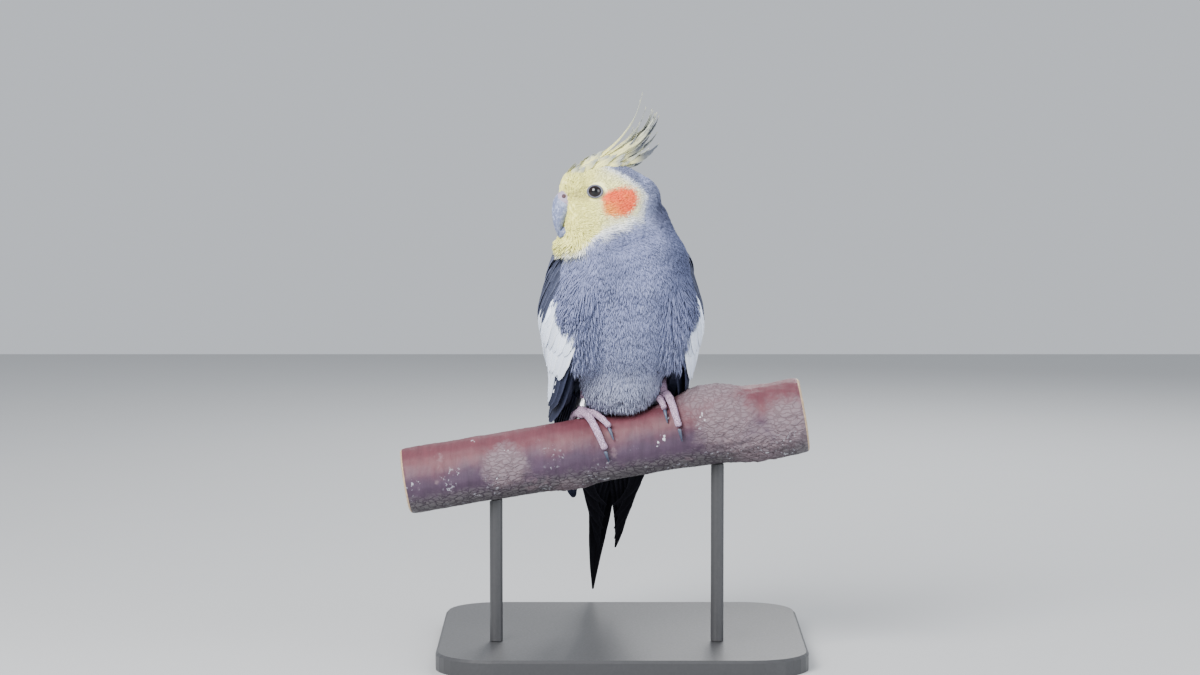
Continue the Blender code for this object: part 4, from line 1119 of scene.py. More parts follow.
def wing_vane(feathers, sign, start, end, share, lift, half, slot, steps=9, deep=ROOT_DIP,
              shift=0.0, point=1.0, ragged=0.05, tilt=VANE_TILT, straight=False):
    """One wing feather: its root dips in, its tip is rounded or pointed.

    Near the back the sheet folds on itself, so a straight feather runs between its two ends.
    """
    points, normals, widths = [], [], []
    ends = [wing_point(sign, distance, share, lift) for distance in (start, end)]
    for step in range(steps + 1):
        along = 1.0 - (1.0 - step / steps) ** 1.45
        distance = start + (end - start) * along
        dip = deep * max(1.0 - along / 0.35, 0.0) ** 1.5
        place, normal, back = wing_point(sign, distance, share, lift - dip, shift * along)
        if straight:
            place, normal, back = [first * (1.0 - along) + last * along
                                   for first, last in zip(*ends)]
            normal = unit(normal)
            back = unit(back - normal * back.dot(normal))
            place = place + normal * (STRAIGHT_BULGE * 4.0 * along * (1.0 - along) - dip)
        points.append(place)
        normals.append(normal * math.cos(tilt) + back * math.sin(tilt))
        shape = min(1.0, 0.55 + 1.5 * along)
        taper = max((along - 0.55) / 0.46, 0.0) ** (2.0 * point + 0.4)
        shape *= math.sqrt(max(1.0 - taper, 0.004))
        widths.append(max(half * shape, 0.25))
    feathers.add_vane(points, normals, widths, slot, ragged=ragged)


def wing_bed(sign):
    """The downy bed under the vanes, from the shoulder to the wrist."""
    rows, columns = 16, 12
    rings = []
    for row in range(rows + 1):
        share = row / rows
        distance = -2.0 + 84.0 * share
        outer_lift = 1.7 - 9.0 * max(share - 0.2, 0.0)
        depth = 11.0 - 6.0 * share
        close = math.sqrt(max(1.0 - (2.0 * share - 1.0) ** 8, 0.04))
        top, low = [], []
        for column in range(columns + 1):
            across = (-1.0 + 2.0 * column / columns) * 0.9
            edge = 1.0 - abs(across) ** 5
            lift = outer_lift - 1.8 * (1.0 - edge)
            deep_lift = lift - 1.2 - depth * edge * close
            top.append(wing_point(sign, distance, across * close, lift)[0])
            low.append(wing_point(sign, distance, across * close, deep_lift)[0])
        rings.append(top + low[::-1])
    return np.array(rings)


def tier(feathers, sign, count, first, last, start, end, lift, half, slot_of, longer=0.0,
         **details):
    """A row of alike feathers from the front edge to the back edge."""
    draw = feathers.draw
    for index in range(count):
        share = first + (last - first) * index / (count - 1)
        far = end + longer * index + draw.normal(0.0, 0.5)
        wing_vane(feathers, sign, start + draw.normal(0.0, 0.4), far,
                  share + draw.normal(0.0, 0.008), lift + draw.normal(0.0, 0.08), half,
                  slot_of(share), **details)


def covert_colour(end):
    """The slot of a covert whose tip lies at a distance: slate, white patch or grey."""
    seen = end - 5.0

    def slot_of(share):
        front = -1.0 + max(seen - 45.0, 0.0) * 0.010
        if seen > 4.0 + (share + 0.9) * 30.0 and front < share < 0.14:
            spot = 27.0 < end < 31.0 and share < -0.74
            return SLATE if spot else WHITE
        if share > 0.30:
            return GREY
        return FLIGHT if seen > 45.0 else SLATE

    return slot_of


def build_wing(name, sign, seed):
    """All tiers of one folded wing, from the flight feathers up to the small coverts."""
    feathers = FeatherSet(seed)
    for index, end in enumerate(PRIMARY_TIPS):
        wing_vane(feathers, sign, 66.0, end, -0.80 + 0.075 * index, -9.18 + 0.80 * index, 5.0,
                  FLIGHT, steps=18, deep=1.5, shift=0.3 * index, point=0.7, ragged=0.015,
                  tilt=FLIGHT_TILT)
    for index, end in enumerate(INNER_TIPS):
        wing_vane(feathers, sign, 54.0, end, -0.22 + 0.17 * index, -3.6 + 0.25 * index, 5.2,
                  FLIGHT, steps=15, point=0.7, ragged=0.02, tilt=FLIGHT_TILT)
    tier(feathers, sign, 14, -0.97, 0.90, 46.0, 84.0, -1.1, 5.2, lambda share: FLIGHT,
         longer=1.5, steps=13, point=0.7, ragged=0.02, tilt=FLIGHT_TILT)
    for start, end, lift, half, count in COVERT_TIERS:
        tier(feathers, sign, count, -0.95, 0.62, start, end, lift, half, covert_colour(end),
             longer=0.3, point=0.8)
    for start, end, lift, half, count in SCAPULAR_TIERS:
        tier(feathers, sign, count, 0.30, 0.86, start, end, lift, half, lambda share: GREY,
             longer=-0.9, steps=12, point=0.55, ragged=0.03, straight=True)
    feathers.add_form(wing_bed(sign), GREY, sign < 0)
    return feathers.write(name, WING_FINISHES)


for wing_name, wing_sign, seed in (("wing_left", 1, 5), ("wing_right", -1, 6)):
    piece = build_wing("feathers_" + wing_name, wing_sign, seed)
    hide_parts(wing_name)

# %% [markdown]
# ## The tail
# Twelve long feathers spring from the rump, each pair a little shorter and wider apart than
# the one above, and close like a fan behind the branch. Short coverts run over their roots
# above and below.

# %% Tail feathers and their coverts
TAIL_ROOT = np.array((3.0, 28.0, 22.0))
TAIL_LEAN = math.radians(37.0)
TAIL_DOWN = np.array((0.0, math.sin(TAIL_LEAN), -math.cos(TAIL_LEAN)))
TAIL_OUT = np.array((0.0, math.cos(TAIL_LEAN), math.sin(TAIL_LEAN)))
TAIL_FAR = (156.0, 124.0, 117.0, 109.0, 100.0, 91.0)
TAIL_NEAR = (118.0, 124.0, 117.0, 109.0, 100.0, 91.0)
TAIL_STEPS = 22
TAIL_HALF = 6.9
RUMP_STEPS = 8
TAIL_BLACK, TAIL_SLATE, RUMP = range(3)


def tail_point(across, along, lift):
    """Sideways, down the tail's length and out from its back."""
    point = TAIL_ROOT + TAIL_DOWN * along + TAIL_OUT * lift + np.array((across, 0.0, 0.0))
    return turned_body(point)


tail_set = FeatherSet(8)
tail_normal = turned_body(TAIL_OUT)
for pair in range(6):
    for side, reaches in ((-1, TAIL_FAR), (1, TAIL_NEAR)):
        layer = 2 * pair + (1 if side > 0 else 0) if pair < 2 else pair + 2
        root = side * (1.2 + 1.2 * pair)
        tip = 0.4 + 0.1 * pair if side < 0 else 9.5 - 1.0 * pair
        bulge = -0.6 - 1.7 * pair if side < 0 else 0.5 + 1.6 * pair
        points, widths = [], []
        for step in range(TAIL_STEPS + 1):
            share = step / TAIL_STEPS
            along = 10.0 + (reaches[pair] - 10.0) * share
            bow = 9.48 * share ** 3 * (1.0 - share)
            sway = root + (tip - root) * share + bulge * bow
            lift = 0.6 - 0.95 * layer + 0.5 * math.sin(share * 3)
            points.append(tail_point(sway, along, lift))
            shape = min(1.0, 0.6 + share) * (1.0 - max(share - 0.45, 0.0) ** 1.5 * 2.3)
            widths.append(max(TAIL_HALF * shape, 0.35))
        tail_set.add_vane(points, [tail_normal] * len(points), widths, TAIL_BLACK, camber=0.14,
                          ragged=0.03)
for upper in (True, False):
    for row in range(7):
        count = 7 if row < 5 else 5
        for index in range(count):
            across = -1.0 + 2.0 * index / (count - 1)
            start = -9.0 + 6.0 * row
            length = 20.0 + 1.5 * row - 4.0 * abs(across)
            points, widths, normals = [], [], []
            for step in range(RUMP_STEPS + 1):
                share = step / RUMP_STEPS
                along = start + length * share
                half_x = 13.5 - 3.5 * min(max(along, 0.0) / 50.0, 1.0) ** 2
                half_z = 9.8 - 5.4 * min(max(along + 4.0, 0.0) / 54.0, 1.0)
                angle = math.radians(90.0 - across * 78.0) * (1 if upper else -1)
                dip = 2.0 * max(1.0 - share / 0.35, 0.0) ** 1.5
                points.append(tail_point((half_x - dip) * math.cos(angle), along,
                                         -2.4 + (half_z - dip) * math.sin(angle)))
                facing = TAIL_OUT * math.sin(angle) + np.array((math.cos(angle), 0.0, 0.0))
                normals.append(turned_body(facing))
                widths.append(max(3.6 * math.sin(math.pi * (0.14 + 0.80 * share)) ** 0.6, 0.3))
            slot = RUMP if row < 3 else TAIL_SLATE
            tail_set.add_vane(points, normals, widths, slot, ragged=0.12)
tail_rings = []
for step in range(15):
    share = step / 14
    ring = []
    for turn in range(24):
        angle = 2.0 * math.pi * turn / 24
        ring.append(tail_point((12.6 - 4.0 * share ** 2) * math.cos(angle), -2.0 + 52.0 * share,
                               -2.4 - 0.6 * share + (8.4 - 5.0 * share) * math.sin(angle)))
    tail_rings.append(ring)
tail_set.add_form(np.array(tail_rings), TAIL_SLATE, True)
tail = tail_set.write("feathers_tail", [tail_black, tail_slate, wing_dove])
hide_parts("tail")

# %% [markdown]
# ## The crest
# The crest is half raised. Short soft feathers cover the forehead and crown like a pile of
# petals, and out of them grow the long narrow ones. They leave the head at a low angle, run
# back and turn up towards their tips. Three thin wisps stand clear of the rest. Each feather
# runs along a curve with four control points in the head's frame.

# %% Crest feathers
# Where the long feathers end, forward and up in the head's frame, from the first to the last.
CREST_TIPS = ((-15.9, 50.5), (-17.5, 44.0), (-24.8, 43.5), (-23.8, 37.5), (-22.8, 28.5),
              (-15.6, 19.8))
CREST_LONG = 56
CREST_SHORT = 84
CREST_STEPS = 16
CREST_WISPS = 3


def plume_finish():
    """Pale yellow at the root, grey towards the tip, with dark streaks on some feathers."""
    finish = Finish("crest_plume", Roughness=0.85, Specular_IOR_Level=0.12)
    along, tone = finish.attribute("along"), finish.attribute("tone")
    across = finish.size_of(finish.attribute("across"))
    fleck = finish.noise(finish.place(), 350.0, 3.0, 0.6)
    dark = finish.step(tone + fleck * 0.5 - across * 0.2, 0.56, 0.80)
    colour = (0.90, 0.86, 0.36)
    for share, tint in ((finish.step(along, 0.15, 0.75), (0.36, 0.38, 0.33)),
                        (dark * finish.step(along, 0.25, 0.6) * 0.9, (0.050, 0.058, 0.085)),
                        (finish.step(along, 0.90, 1.0) * 0.7, (0.70, 0.70, 0.46))):
        colour = finish.blend(share, colour, tint)
    finish.colour(colour)
    barbs = finish.math("SINE", (along * 20.0 - across * 2.0) * 30.0)
    finish.bump(barbs * 0.5 + fleck, 0.0001, 0.35)
    return finish.material


def crest_feather(feathers, root, tip, climb, curl, half, firm, tone=None):
    """One crest feather: low at its root, turned up at its tip."""
    reach = np.linalg.norm(tip - root)
    climb, curl = math.radians(climb), math.radians(curl)
    curve = (root, root + np.array((-math.cos(climb), 0.0, math.sin(climb))) * firm * reach,
             tip - np.array((-math.cos(curl), 0.0, math.sin(curl))) * 0.30 * reach, tip)
    points, widths = [], []
    for step in range(CREST_STEPS):
        along = 1.0 - (1.0 - step / (CREST_STEPS - 1)) ** 1.3
        rest = 1.0 - along
        local = (curve[0] * rest ** 3 + curve[1] * 3.0 * rest * rest * along
                 + curve[2] * 3.0 * rest * along * along + curve[3] * along ** 3)
        points.append(from_head(*local))
        widths.append(max(half * min(1.0, 0.5 + 1.6 * along) * (1.0 - along ** 2.6), 0.12))
    facing = HEAD_FORWARD * 0.25 + HEAD_LEFT * (0.85 if root[1] > 0 else -0.85) + UP * 0.55
    feathers.add_vane(points, [facing] * CREST_STEPS, widths, 0, camber=0.35, thick=0.2,
                      ragged=0.25, tone=tone)


crest_set = FeatherSet(14)
draw = crest_set.draw
for index in range(CREST_LONG):
    share = index / (CREST_LONG - 1)
    back = share ** 1.1
    if index < CREST_WISPS:
        tip_forward, tip_up = spline(CREST_TIPS, min(index * 0.5, 1.0))
    else:
        tip_forward, tip_up = spline(CREST_TIPS, 1.7 + 3.3 * (index - 3) / (CREST_LONG - 4))
        tip_forward += draw.uniform(-1.8, 2.2)
        tip_up += draw.uniform(-2.2, 0.8)
    side = (-1) ** index * draw.uniform(0.2, 3.2)
    root = np.array((21.0 - 21.0 * back, side * 0.8, 11.8 + 4.8 * back ** 0.6))
    tip = np.array((tip_forward, side * draw.uniform(0.3, 0.9), tip_up))
    if index > 3:
        tip = root + (tip - root) * draw.uniform(0.70, 1.0)
    half = 0.5 if index < CREST_WISPS else draw.uniform(1.2, 2.0)
    crest_feather(crest_set, root, tip, 30.0 - 16.0 * share, 80.0 - 44.0 * share, half, 0.50)
for index in range(CREST_SHORT):
    share = (index + 0.5) / CREST_SHORT
    forward = 23.0 - 26.0 * share
    side = (-1) ** index * draw.uniform(0.0, 5.2)
    crown = 18.0 - abs(side) ** 2 * 0.06 - max(forward - 8.0, 0.0) ** 1.6 * 0.115
    root = np.array((forward, side, crown))
    reach = draw.uniform(7.5, 13.0) * (1.0 if share < 0.75 else 0.8)
    rise = math.radians(draw.uniform(34.0, 54.0) - 30.0 * share)
    tip = root + np.array((-math.cos(rise), draw.uniform(-0.05, 0.05), math.sin(rise))) * reach
    crest_feather(crest_set, root, tip, 44.0 - 20.0 * share, 30.0, draw.uniform(1.4, 2.1), 0.35,
                  draw.uniform(0.1, 0.45))
crest = crest_set.write("feathers_crest", [plume_finish()])
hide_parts("head")

# %% [markdown]
# ## Bill, cere and nostrils
# The upper bill is a hooked horn whose root is wrapped in the cere, a soft swollen skin with
# the nostrils in it. The lower bill is a short cup behind it. Each half is a skin over oval
# sections that turn with the curve of the bill, and the nostrils are hollowed with a Boolean.

# %% Horn and cere
# Each bill section: forward and up in the head's frame, half width and half height.
BILL_UPPER = ((16.5, 1.0, 4.4, 5.6), (20.8, 0.4, 4.7, 5.8), (23.0, -2.4, 4.3, 4.6),
              (24.2, -6.2, 3.2, 3.0), (24.5, -9.8, 2.0, 1.8), (24.0, -13.4, 0.7, 0.8))
BILL_LOWER = ((16.0, -9.4, 3.4, 3.0), (20.6, -12.0, 3.5, 2.8), (23.6, -13.4, 2.7, 2.0),
              (24.6, -13.6, 1.5, 1.0))
NOSTRIL_PLACE = (23.4, 3.4, 4.0)
NOSTRIL_RADIUS = 0.95
BILL_POINTS = 32


def lofted(name, rings, material):
    """A closed smooth object through rings of points of the bird."""
    rings = np.asarray(rings, float)
    rows, size = rings.shape[:2]
    faces = ring_faces(rows, size)
    faces.append(tuple(reversed(range(size))))
    faces.append(tuple(range((rows - 1) * size, rows * size)))
    mesh = bpy.data.meshes.new(name)
    mesh.from_pydata(in_scene(rings.reshape(-1, 3)).tolist(), [], faces)
    mesh.materials.append(material)
    piece = linked(name, mesh)
    pick(piece)
    edit_whole(FACE_OUT)
    bpy.ops.object.shade_smooth()
    return piece


def bill_rings(rows, first, last, steps, grow=0.0, keel=0.0):
    """Oval sections along a bill half, from one place on its curve to another."""
    rings = []
    count = len(rows) - 1
    for step in range(steps + 1):
        place = first + (last - first) * step / steps
        forward, up, half_x, half_z = spline(rows, place)
        ahead = spline(rows, min(place + 0.05, count))
        behind = spline(rows, max(place - 0.05, 0.0))
        along = unit(np.array((ahead[0] - behind[0], ahead[1] - behind[1])))
        ring = []
        for turn in range(BILL_POINTS):
            angle = 2.0 * math.pi * turn / BILL_POINTS
            rise = math.sin(angle)
            ridge = keel * max(rise, 0.0) ** 12
            wide = (half_x + grow) * math.cos(angle)
            high = (half_z + grow) * rise + ridge
            ring.append(from_head(forward - along[1] * high, wide, up + along[0] * high))
        rings.append(ring)
    return rings


def flaky_horn():
    """Blue-grey horn that flakes in pale scales and darkens towards the tip."""
    finish = Finish("bill_horn", Roughness=0.45)
    place = finish.place()
    up = head_axes(finish, place)[1]
    streak = finish.noise(finish.moved(place, scale=(1.0, 1.0, 0.22)), 1500.0, 4.0, 0.6)
    flake = finish.step(finish.noise(place, 620.0, 4.0, 0.7), 0.50, 0.58)
    colour = finish.blend(flake, (0.14, 0.17, 0.30), (0.30, 0.35, 0.54))
    colour = finish.blend(finish.step(streak, 0.45, 0.75) * 0.5, colour, (0.42, 0.47, 0.64))
    tip = 1 - finish.step(up, -12.5, -5.0)
    finish.colour(finish.blend(tip * 0.45, colour, (0.07, 0.085, 0.16)))
    finish.roughness(0.36 + flake * 0.25)
    finish.bump(flake * 0.6 + streak, 0.0003, 0.5)
    return finish


horn_finish = flaky_horn()
cere_finish = grained("cere_skin", 1500.0, (0.26, 0.21, 0.30), (0.44, 0.38, 0.50),
                      (0.0003, 0.6), 4.0, 0.6, Roughness=0.6)[0]
# Painted shade: the nostril hollows are coloured almost black for the shade deep inside the
# openings.
nostril_shade_finish = grained("nostril_painted_shade", 2000.0, (0.05, 0.025, 0.035), (0.11, 0.06, 0.08),
                         detail=2.0, Roughness=0.8)[0]

bill_top = lofted("bill_upper_horn", bill_rings(BILL_UPPER, 0.9, 5.0, 40, 0.0, 0.45),
                  horn_finish.material)
bill_low = lofted("bill_lower_horn", bill_rings(BILL_LOWER, 0.0, 3.0, 22),
                  horn_finish.material)
cere_rings = []
for step in range(17):
    swell = math.sin(math.pi * step / 16) ** 0.5
    cere_rings.append(bill_rings(BILL_UPPER, 0.55 + 0.055 * step, 0.6, 1,
                                 -0.5 + 1.05 * swell)[0])
cere = lofted("cere", cere_rings, cere_finish.material)
apply_modifier(cere, "SUBSURF", levels=1, render_levels=1)
for side in (1, -1):
    deselect()
    hollow = from_head(NOSTRIL_PLACE[0], side * NOSTRIL_PLACE[1], NOSTRIL_PLACE[2])
    bpy.ops.mesh.primitive_uv_sphere_add(segments=20, ring_count=12, radius=NOSTRIL_RADIUS * MM,
                                         location=tuple(in_scene(hollow)))
    ball = bpy.context.object
    bpy.ops.transform.resize(value=(1.0, 1.0, 1.15))
    bpy.ops.object.transform_apply(location=True, rotation=True, scale=True)
    paint(ball, nostril_shade_finish)
    apply_modifier(cere, "BOOLEAN", operation="DIFFERENCE", object=ball, solver="EXACT",
                   material_mode="TRANSFER")
    bpy.data.objects.remove(ball)
for piece, node in ((bill_top, "bill_upper"), (cere, "bill_upper"), (bill_low, "bill_lower")):
    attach(piece, "root")
    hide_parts(node)
print("bill triangles", triangles(bill_top), triangles(cere), triangles(bill_low))

# %% [markdown]
# ## Eyes and lids
# The eye is a glossy ball, almost black with a dark brown iris, set into a ring of bare
# blue-grey skin: the lids. The ring is a torus pressed flatter against the head and roughened
# into small folds.

# %% Eyes
EYE_DEPTH = 0.5
LID_RADIUS = 3.15
LID_THICK = 0.58
LID_OUT = 1.45

eye_finish = Finish("eye_dark", Roughness=0.07)
lid_finish = grained("lid_skin", 1900.0, (0.05, 0.055, 0.075), (0.17, 0.18, 0.23),
                     (0.0003, 0.8), Roughness=0.6)[0]
iris_reach = None
for name, side, centre in (("eye_left", 1, eye_centres[0]), ("eye_right", -1, eye_centres[1])):
    outward = unit(HEAD_FORWARD * math.sin(EYE_TURN) + HEAD_LEFT * side * math.cos(EYE_TURN)
                   + UP * 0.08)
    facing = Vector(outward).to_track_quat("Z", "Y").to_euler()
    centre = centre - outward * EYE_DEPTH
    deselect()
    bpy.ops.mesh.primitive_uv_sphere_add(segments=48, ring_count=32, radius=EYE_RADIUS * MM)
    eye = bpy.context.object
    eye.name = "ball_" + name
    stretch((1.0, 1.0, 1.04))
    eye.rotation_euler = facing
    eye.location = tuple(in_scene(centre))
    bpy.ops.object.transform_apply(location=True, rotation=True, scale=True)
    bpy.ops.object.shade_smooth()
    axis_place = eye_finish.moved(eye_finish.place(), location=tuple(-in_scene(centre)))
    reach = eye_finish.add("ShaderNodeVectorMath", {"operation": "DOT_PRODUCT"},
                           {0: axis_place, 1: tuple(outward)}, 1)
    iris_reach = reach if iris_reach is None else eye_finish.largest(iris_reach, reach)
    paint(eye, eye_finish)
    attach(eye, "root")
    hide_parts(name)

    deselect()
    bpy.ops.mesh.primitive_torus_add(major_segments=72, minor_segments=14,
                                     major_radius=LID_RADIUS * MM, minor_radius=LID_THICK * MM)
    lids = bpy.context.object
    lids.name = "lids_" + name
    stretch((1.02, 0.84, 1.3))
    lids.rotation_euler = facing
    lids.location = tuple(in_scene(centre + outward * LID_OUT))
    bpy.ops.object.transform_apply(location=True, rotation=True, scale=True)
    bpy.ops.object.shade_smooth()
    paint(lids, lid_finish)
    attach(lids, "root")
    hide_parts("head")
iris = eye_finish.step(iris_reach * (1 / MM), 2.7, 2.95)
eye_finish.colour(eye_finish.blend(iris, (0.012, 0.006, 0.005), (0.002, 0.002, 0.003)))
print("eyes at", [np.round(centre, 1).tolist() for centre in eye_centres])

# %% [markdown]
# ## Legs, feet, claws and the ring
# The solids give the toes their path round the branch. Copies of them are fused by a fine
# remesh, so that leg and toes run into each other, and are smoothed. The skin's scales come
# from the finish. The claws are subdivided copies, and the metal ring keeps its own form.

# %% Feet and claws
FOOT_VOXEL = 0.36 * MM
FOOT_SWELL = 0.30 * MM


def copy_of(nodes, name):
    """One object from merged copies of solids; the solids themselves stay as they are."""
    deselect()
    copies = []
    for node in nodes:
        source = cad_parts[node]
        twin = source.copy()
        twin.data = source.data.copy()
        for key in list(twin.keys()):
            del twin[key]
        bpy.context.scene.collection.objects.link(twin)
        twin.hide_render = False
        twin.hide_set(False)
        twin.select_set(True)
        copies.append(twin)
    bpy.context.view_layer.objects.active = copies[0]
    if len(copies) > 1:
        bpy.ops.object.join()
    piece = bpy.context.object
    piece.name = name
    edit_whole((bpy.ops.mesh.remove_doubles, {"threshold": 0.00001}), FACE_OUT)
    return piece


def round_edges(solid, width):
    """Bevels a solid's sharp edges with a live modifier, so that its own mesh stays."""
    bevel = solid.modifiers.new("bevel", "BEVEL")
    bevel.width = width * MM
    bevel.segments = 2
    bevel.limit_method = "ANGLE"


def scaly_skin():
    """Pink skin in small scales with darker edges."""
    finish = Finish("foot_skin", Roughness=0.6)
    place = finish.place()
    scale = finish.step(finish.cells(finish.moved(place, scale=(1.0, 1.0, 1.5)), 1100.0),
                        0.02, 0.16)
    mottle = finish.noise(place, 330.0, 3.0)
    colour = finish.blend(mottle, (0.50, 0.34, 0.50), (0.66, 0.50, 0.66))
    finish.colour(finish.blend(scale, (0.24, 0.15, 0.24), colour))
    finish.bump(scale, 0.0003, 0.9)
    return finish


scale_finish = scaly_skin()
claw_finish = grained("claw_horn", 700.0, (0.025, 0.035, 0.06), (0.09, 0.11, 0.17),
                      (0.0002, 0.4), Roughness=0.35)[0]

for side in ("right", "left"):
    foot = copy_of(["foot_" + side, "leg_" + side], "skin_foot_" + side)
    apply_modifier(foot, "REMESH", mode="VOXEL", voxel_size=FOOT_VOXEL)
    apply_modifier(foot, "SMOOTH", factor=0.5, iterations=5)
    apply_modifier(foot, "DISPLACE", strength=FOOT_SWELL, mid_level=0.0)
    bpy.ops.object.shade_smooth()
    paint(foot, scale_finish)
    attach(foot, "root")
    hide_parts("foot_" + side)
    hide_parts("leg_" + side)
    for number in range(1, 5):
        node = "claw_%s_%d" % (side, number)
        claw = copy_of([node], "horn_" + node)
        apply_modifier(claw, "SUBSURF", levels=2, render_levels=2)
        bpy.ops.object.shade_smooth()
        paint(claw, claw_finish)
        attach(claw, "root")
        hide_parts(node)
    print("foot", side, "triangles", triangles(foot))

ring_finish = Finish("ring_metal", Metallic=1.0)
ring_scratch = ring_finish.noise(ring_finish.moved(ring_finish.place(), scale=(1, 1, 6)), 900.0)
ring_finish.colour(ring_finish.blend(ring_scratch, (0.30, 0.31, 0.34), (0.52, 0.53, 0.56)))
ring_finish.roughness(0.22 + ring_scratch * 0.25)
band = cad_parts["leg_ring"]
paint(band, ring_finish)
round_edges(band, 0.12)
print("ring painted")

# %% [markdown]
# ## Branch
# The branch is a copy of its solid, cut finer and pushed in and out by noise: low broad waves
# for the growth and small ridges round it for the bark. Its finish is smooth red-brown bark
# with a purple shade below, rough paler bark at the knots, and a sawn face at each end.

# %% Branch
PERCH_RISE = math.radians(9.6)
PERCH_RADIUS = 15.5
BARK_VOXEL = 1.1 * MM
PERCH_LEFT, PERCH_RIGHT = -100.0, 84.0
# Each knot: its place along the branch, its turn from the top in degrees and its size.
KNOTS = ((40.0, 22.0, 15.0), (47.0, 75.0, 14.0), (62.0, 130.0, 13.0), (-53.0, 88.0, 10.0),
         (-24.0, 170.0, 9.0), (76.0, 95.0, 12.0))


def knot_point(place, turn):
    """A point on the branch: its place along the bird's X and its turn from the top."""
    angle = math.radians(turn)
    return np.array((place, -math.sin(angle) * PERCH_RADIUS,
                     (math.cos(angle) - 1.0) * PERCH_RADIUS + place * math.tan(PERCH_RISE)))


perch = copy_of(["perch"], "bark_perch")
apply_modifier(perch, "REMESH", mode="VOXEL", voxel_size=BARK_VOXEL)
apply_modifier(perch, "SMOOTH", factor=0.5, iterations=16)
perch_points = in_bird(vertex_array(perch.data))
perch_normals = vertex_array(perch.data, "normal")
branch_way = np.array((math.cos(PERCH_RISE), 0.0, math.sin(PERCH_RISE)))
rises = np.empty(len(perch_points))
for index, point in enumerate(perch_points):
    end = min(point[0] - PERCH_LEFT, PERCH_RIGHT - point[0])
    broad = solid_noise.fractal(Vector(point) * 0.07, 0.7, 2.0, 3)
    along = float(point @ branch_way)
    grain = solid_noise.noise(Vector((along * 0.9, point[1] * 0.12, point[2] * 0.12)))
    gnarl = 0.0
    for place, turn, spread in KNOTS:
        away = np.linalg.norm(point - knot_point(place, turn)) / spread
        gnarl += math.exp(-away * away)
    rough = solid_noise.fractal(Vector(point) * 0.42, 0.6, 2.0, 3) * min(gnarl, 1.2)
    rises[index] = (0.35 * broad + 0.12 * grain + 0.8 * rough) * min(end / 3.0 + 0.15, 1.0)
perch.data.vertices.foreach_set(
    "co", in_scene(perch_points + perch_normals * (rises - 0.15)[:, None]).ravel())
perch.data.update()
bpy.ops.object.shade_smooth()


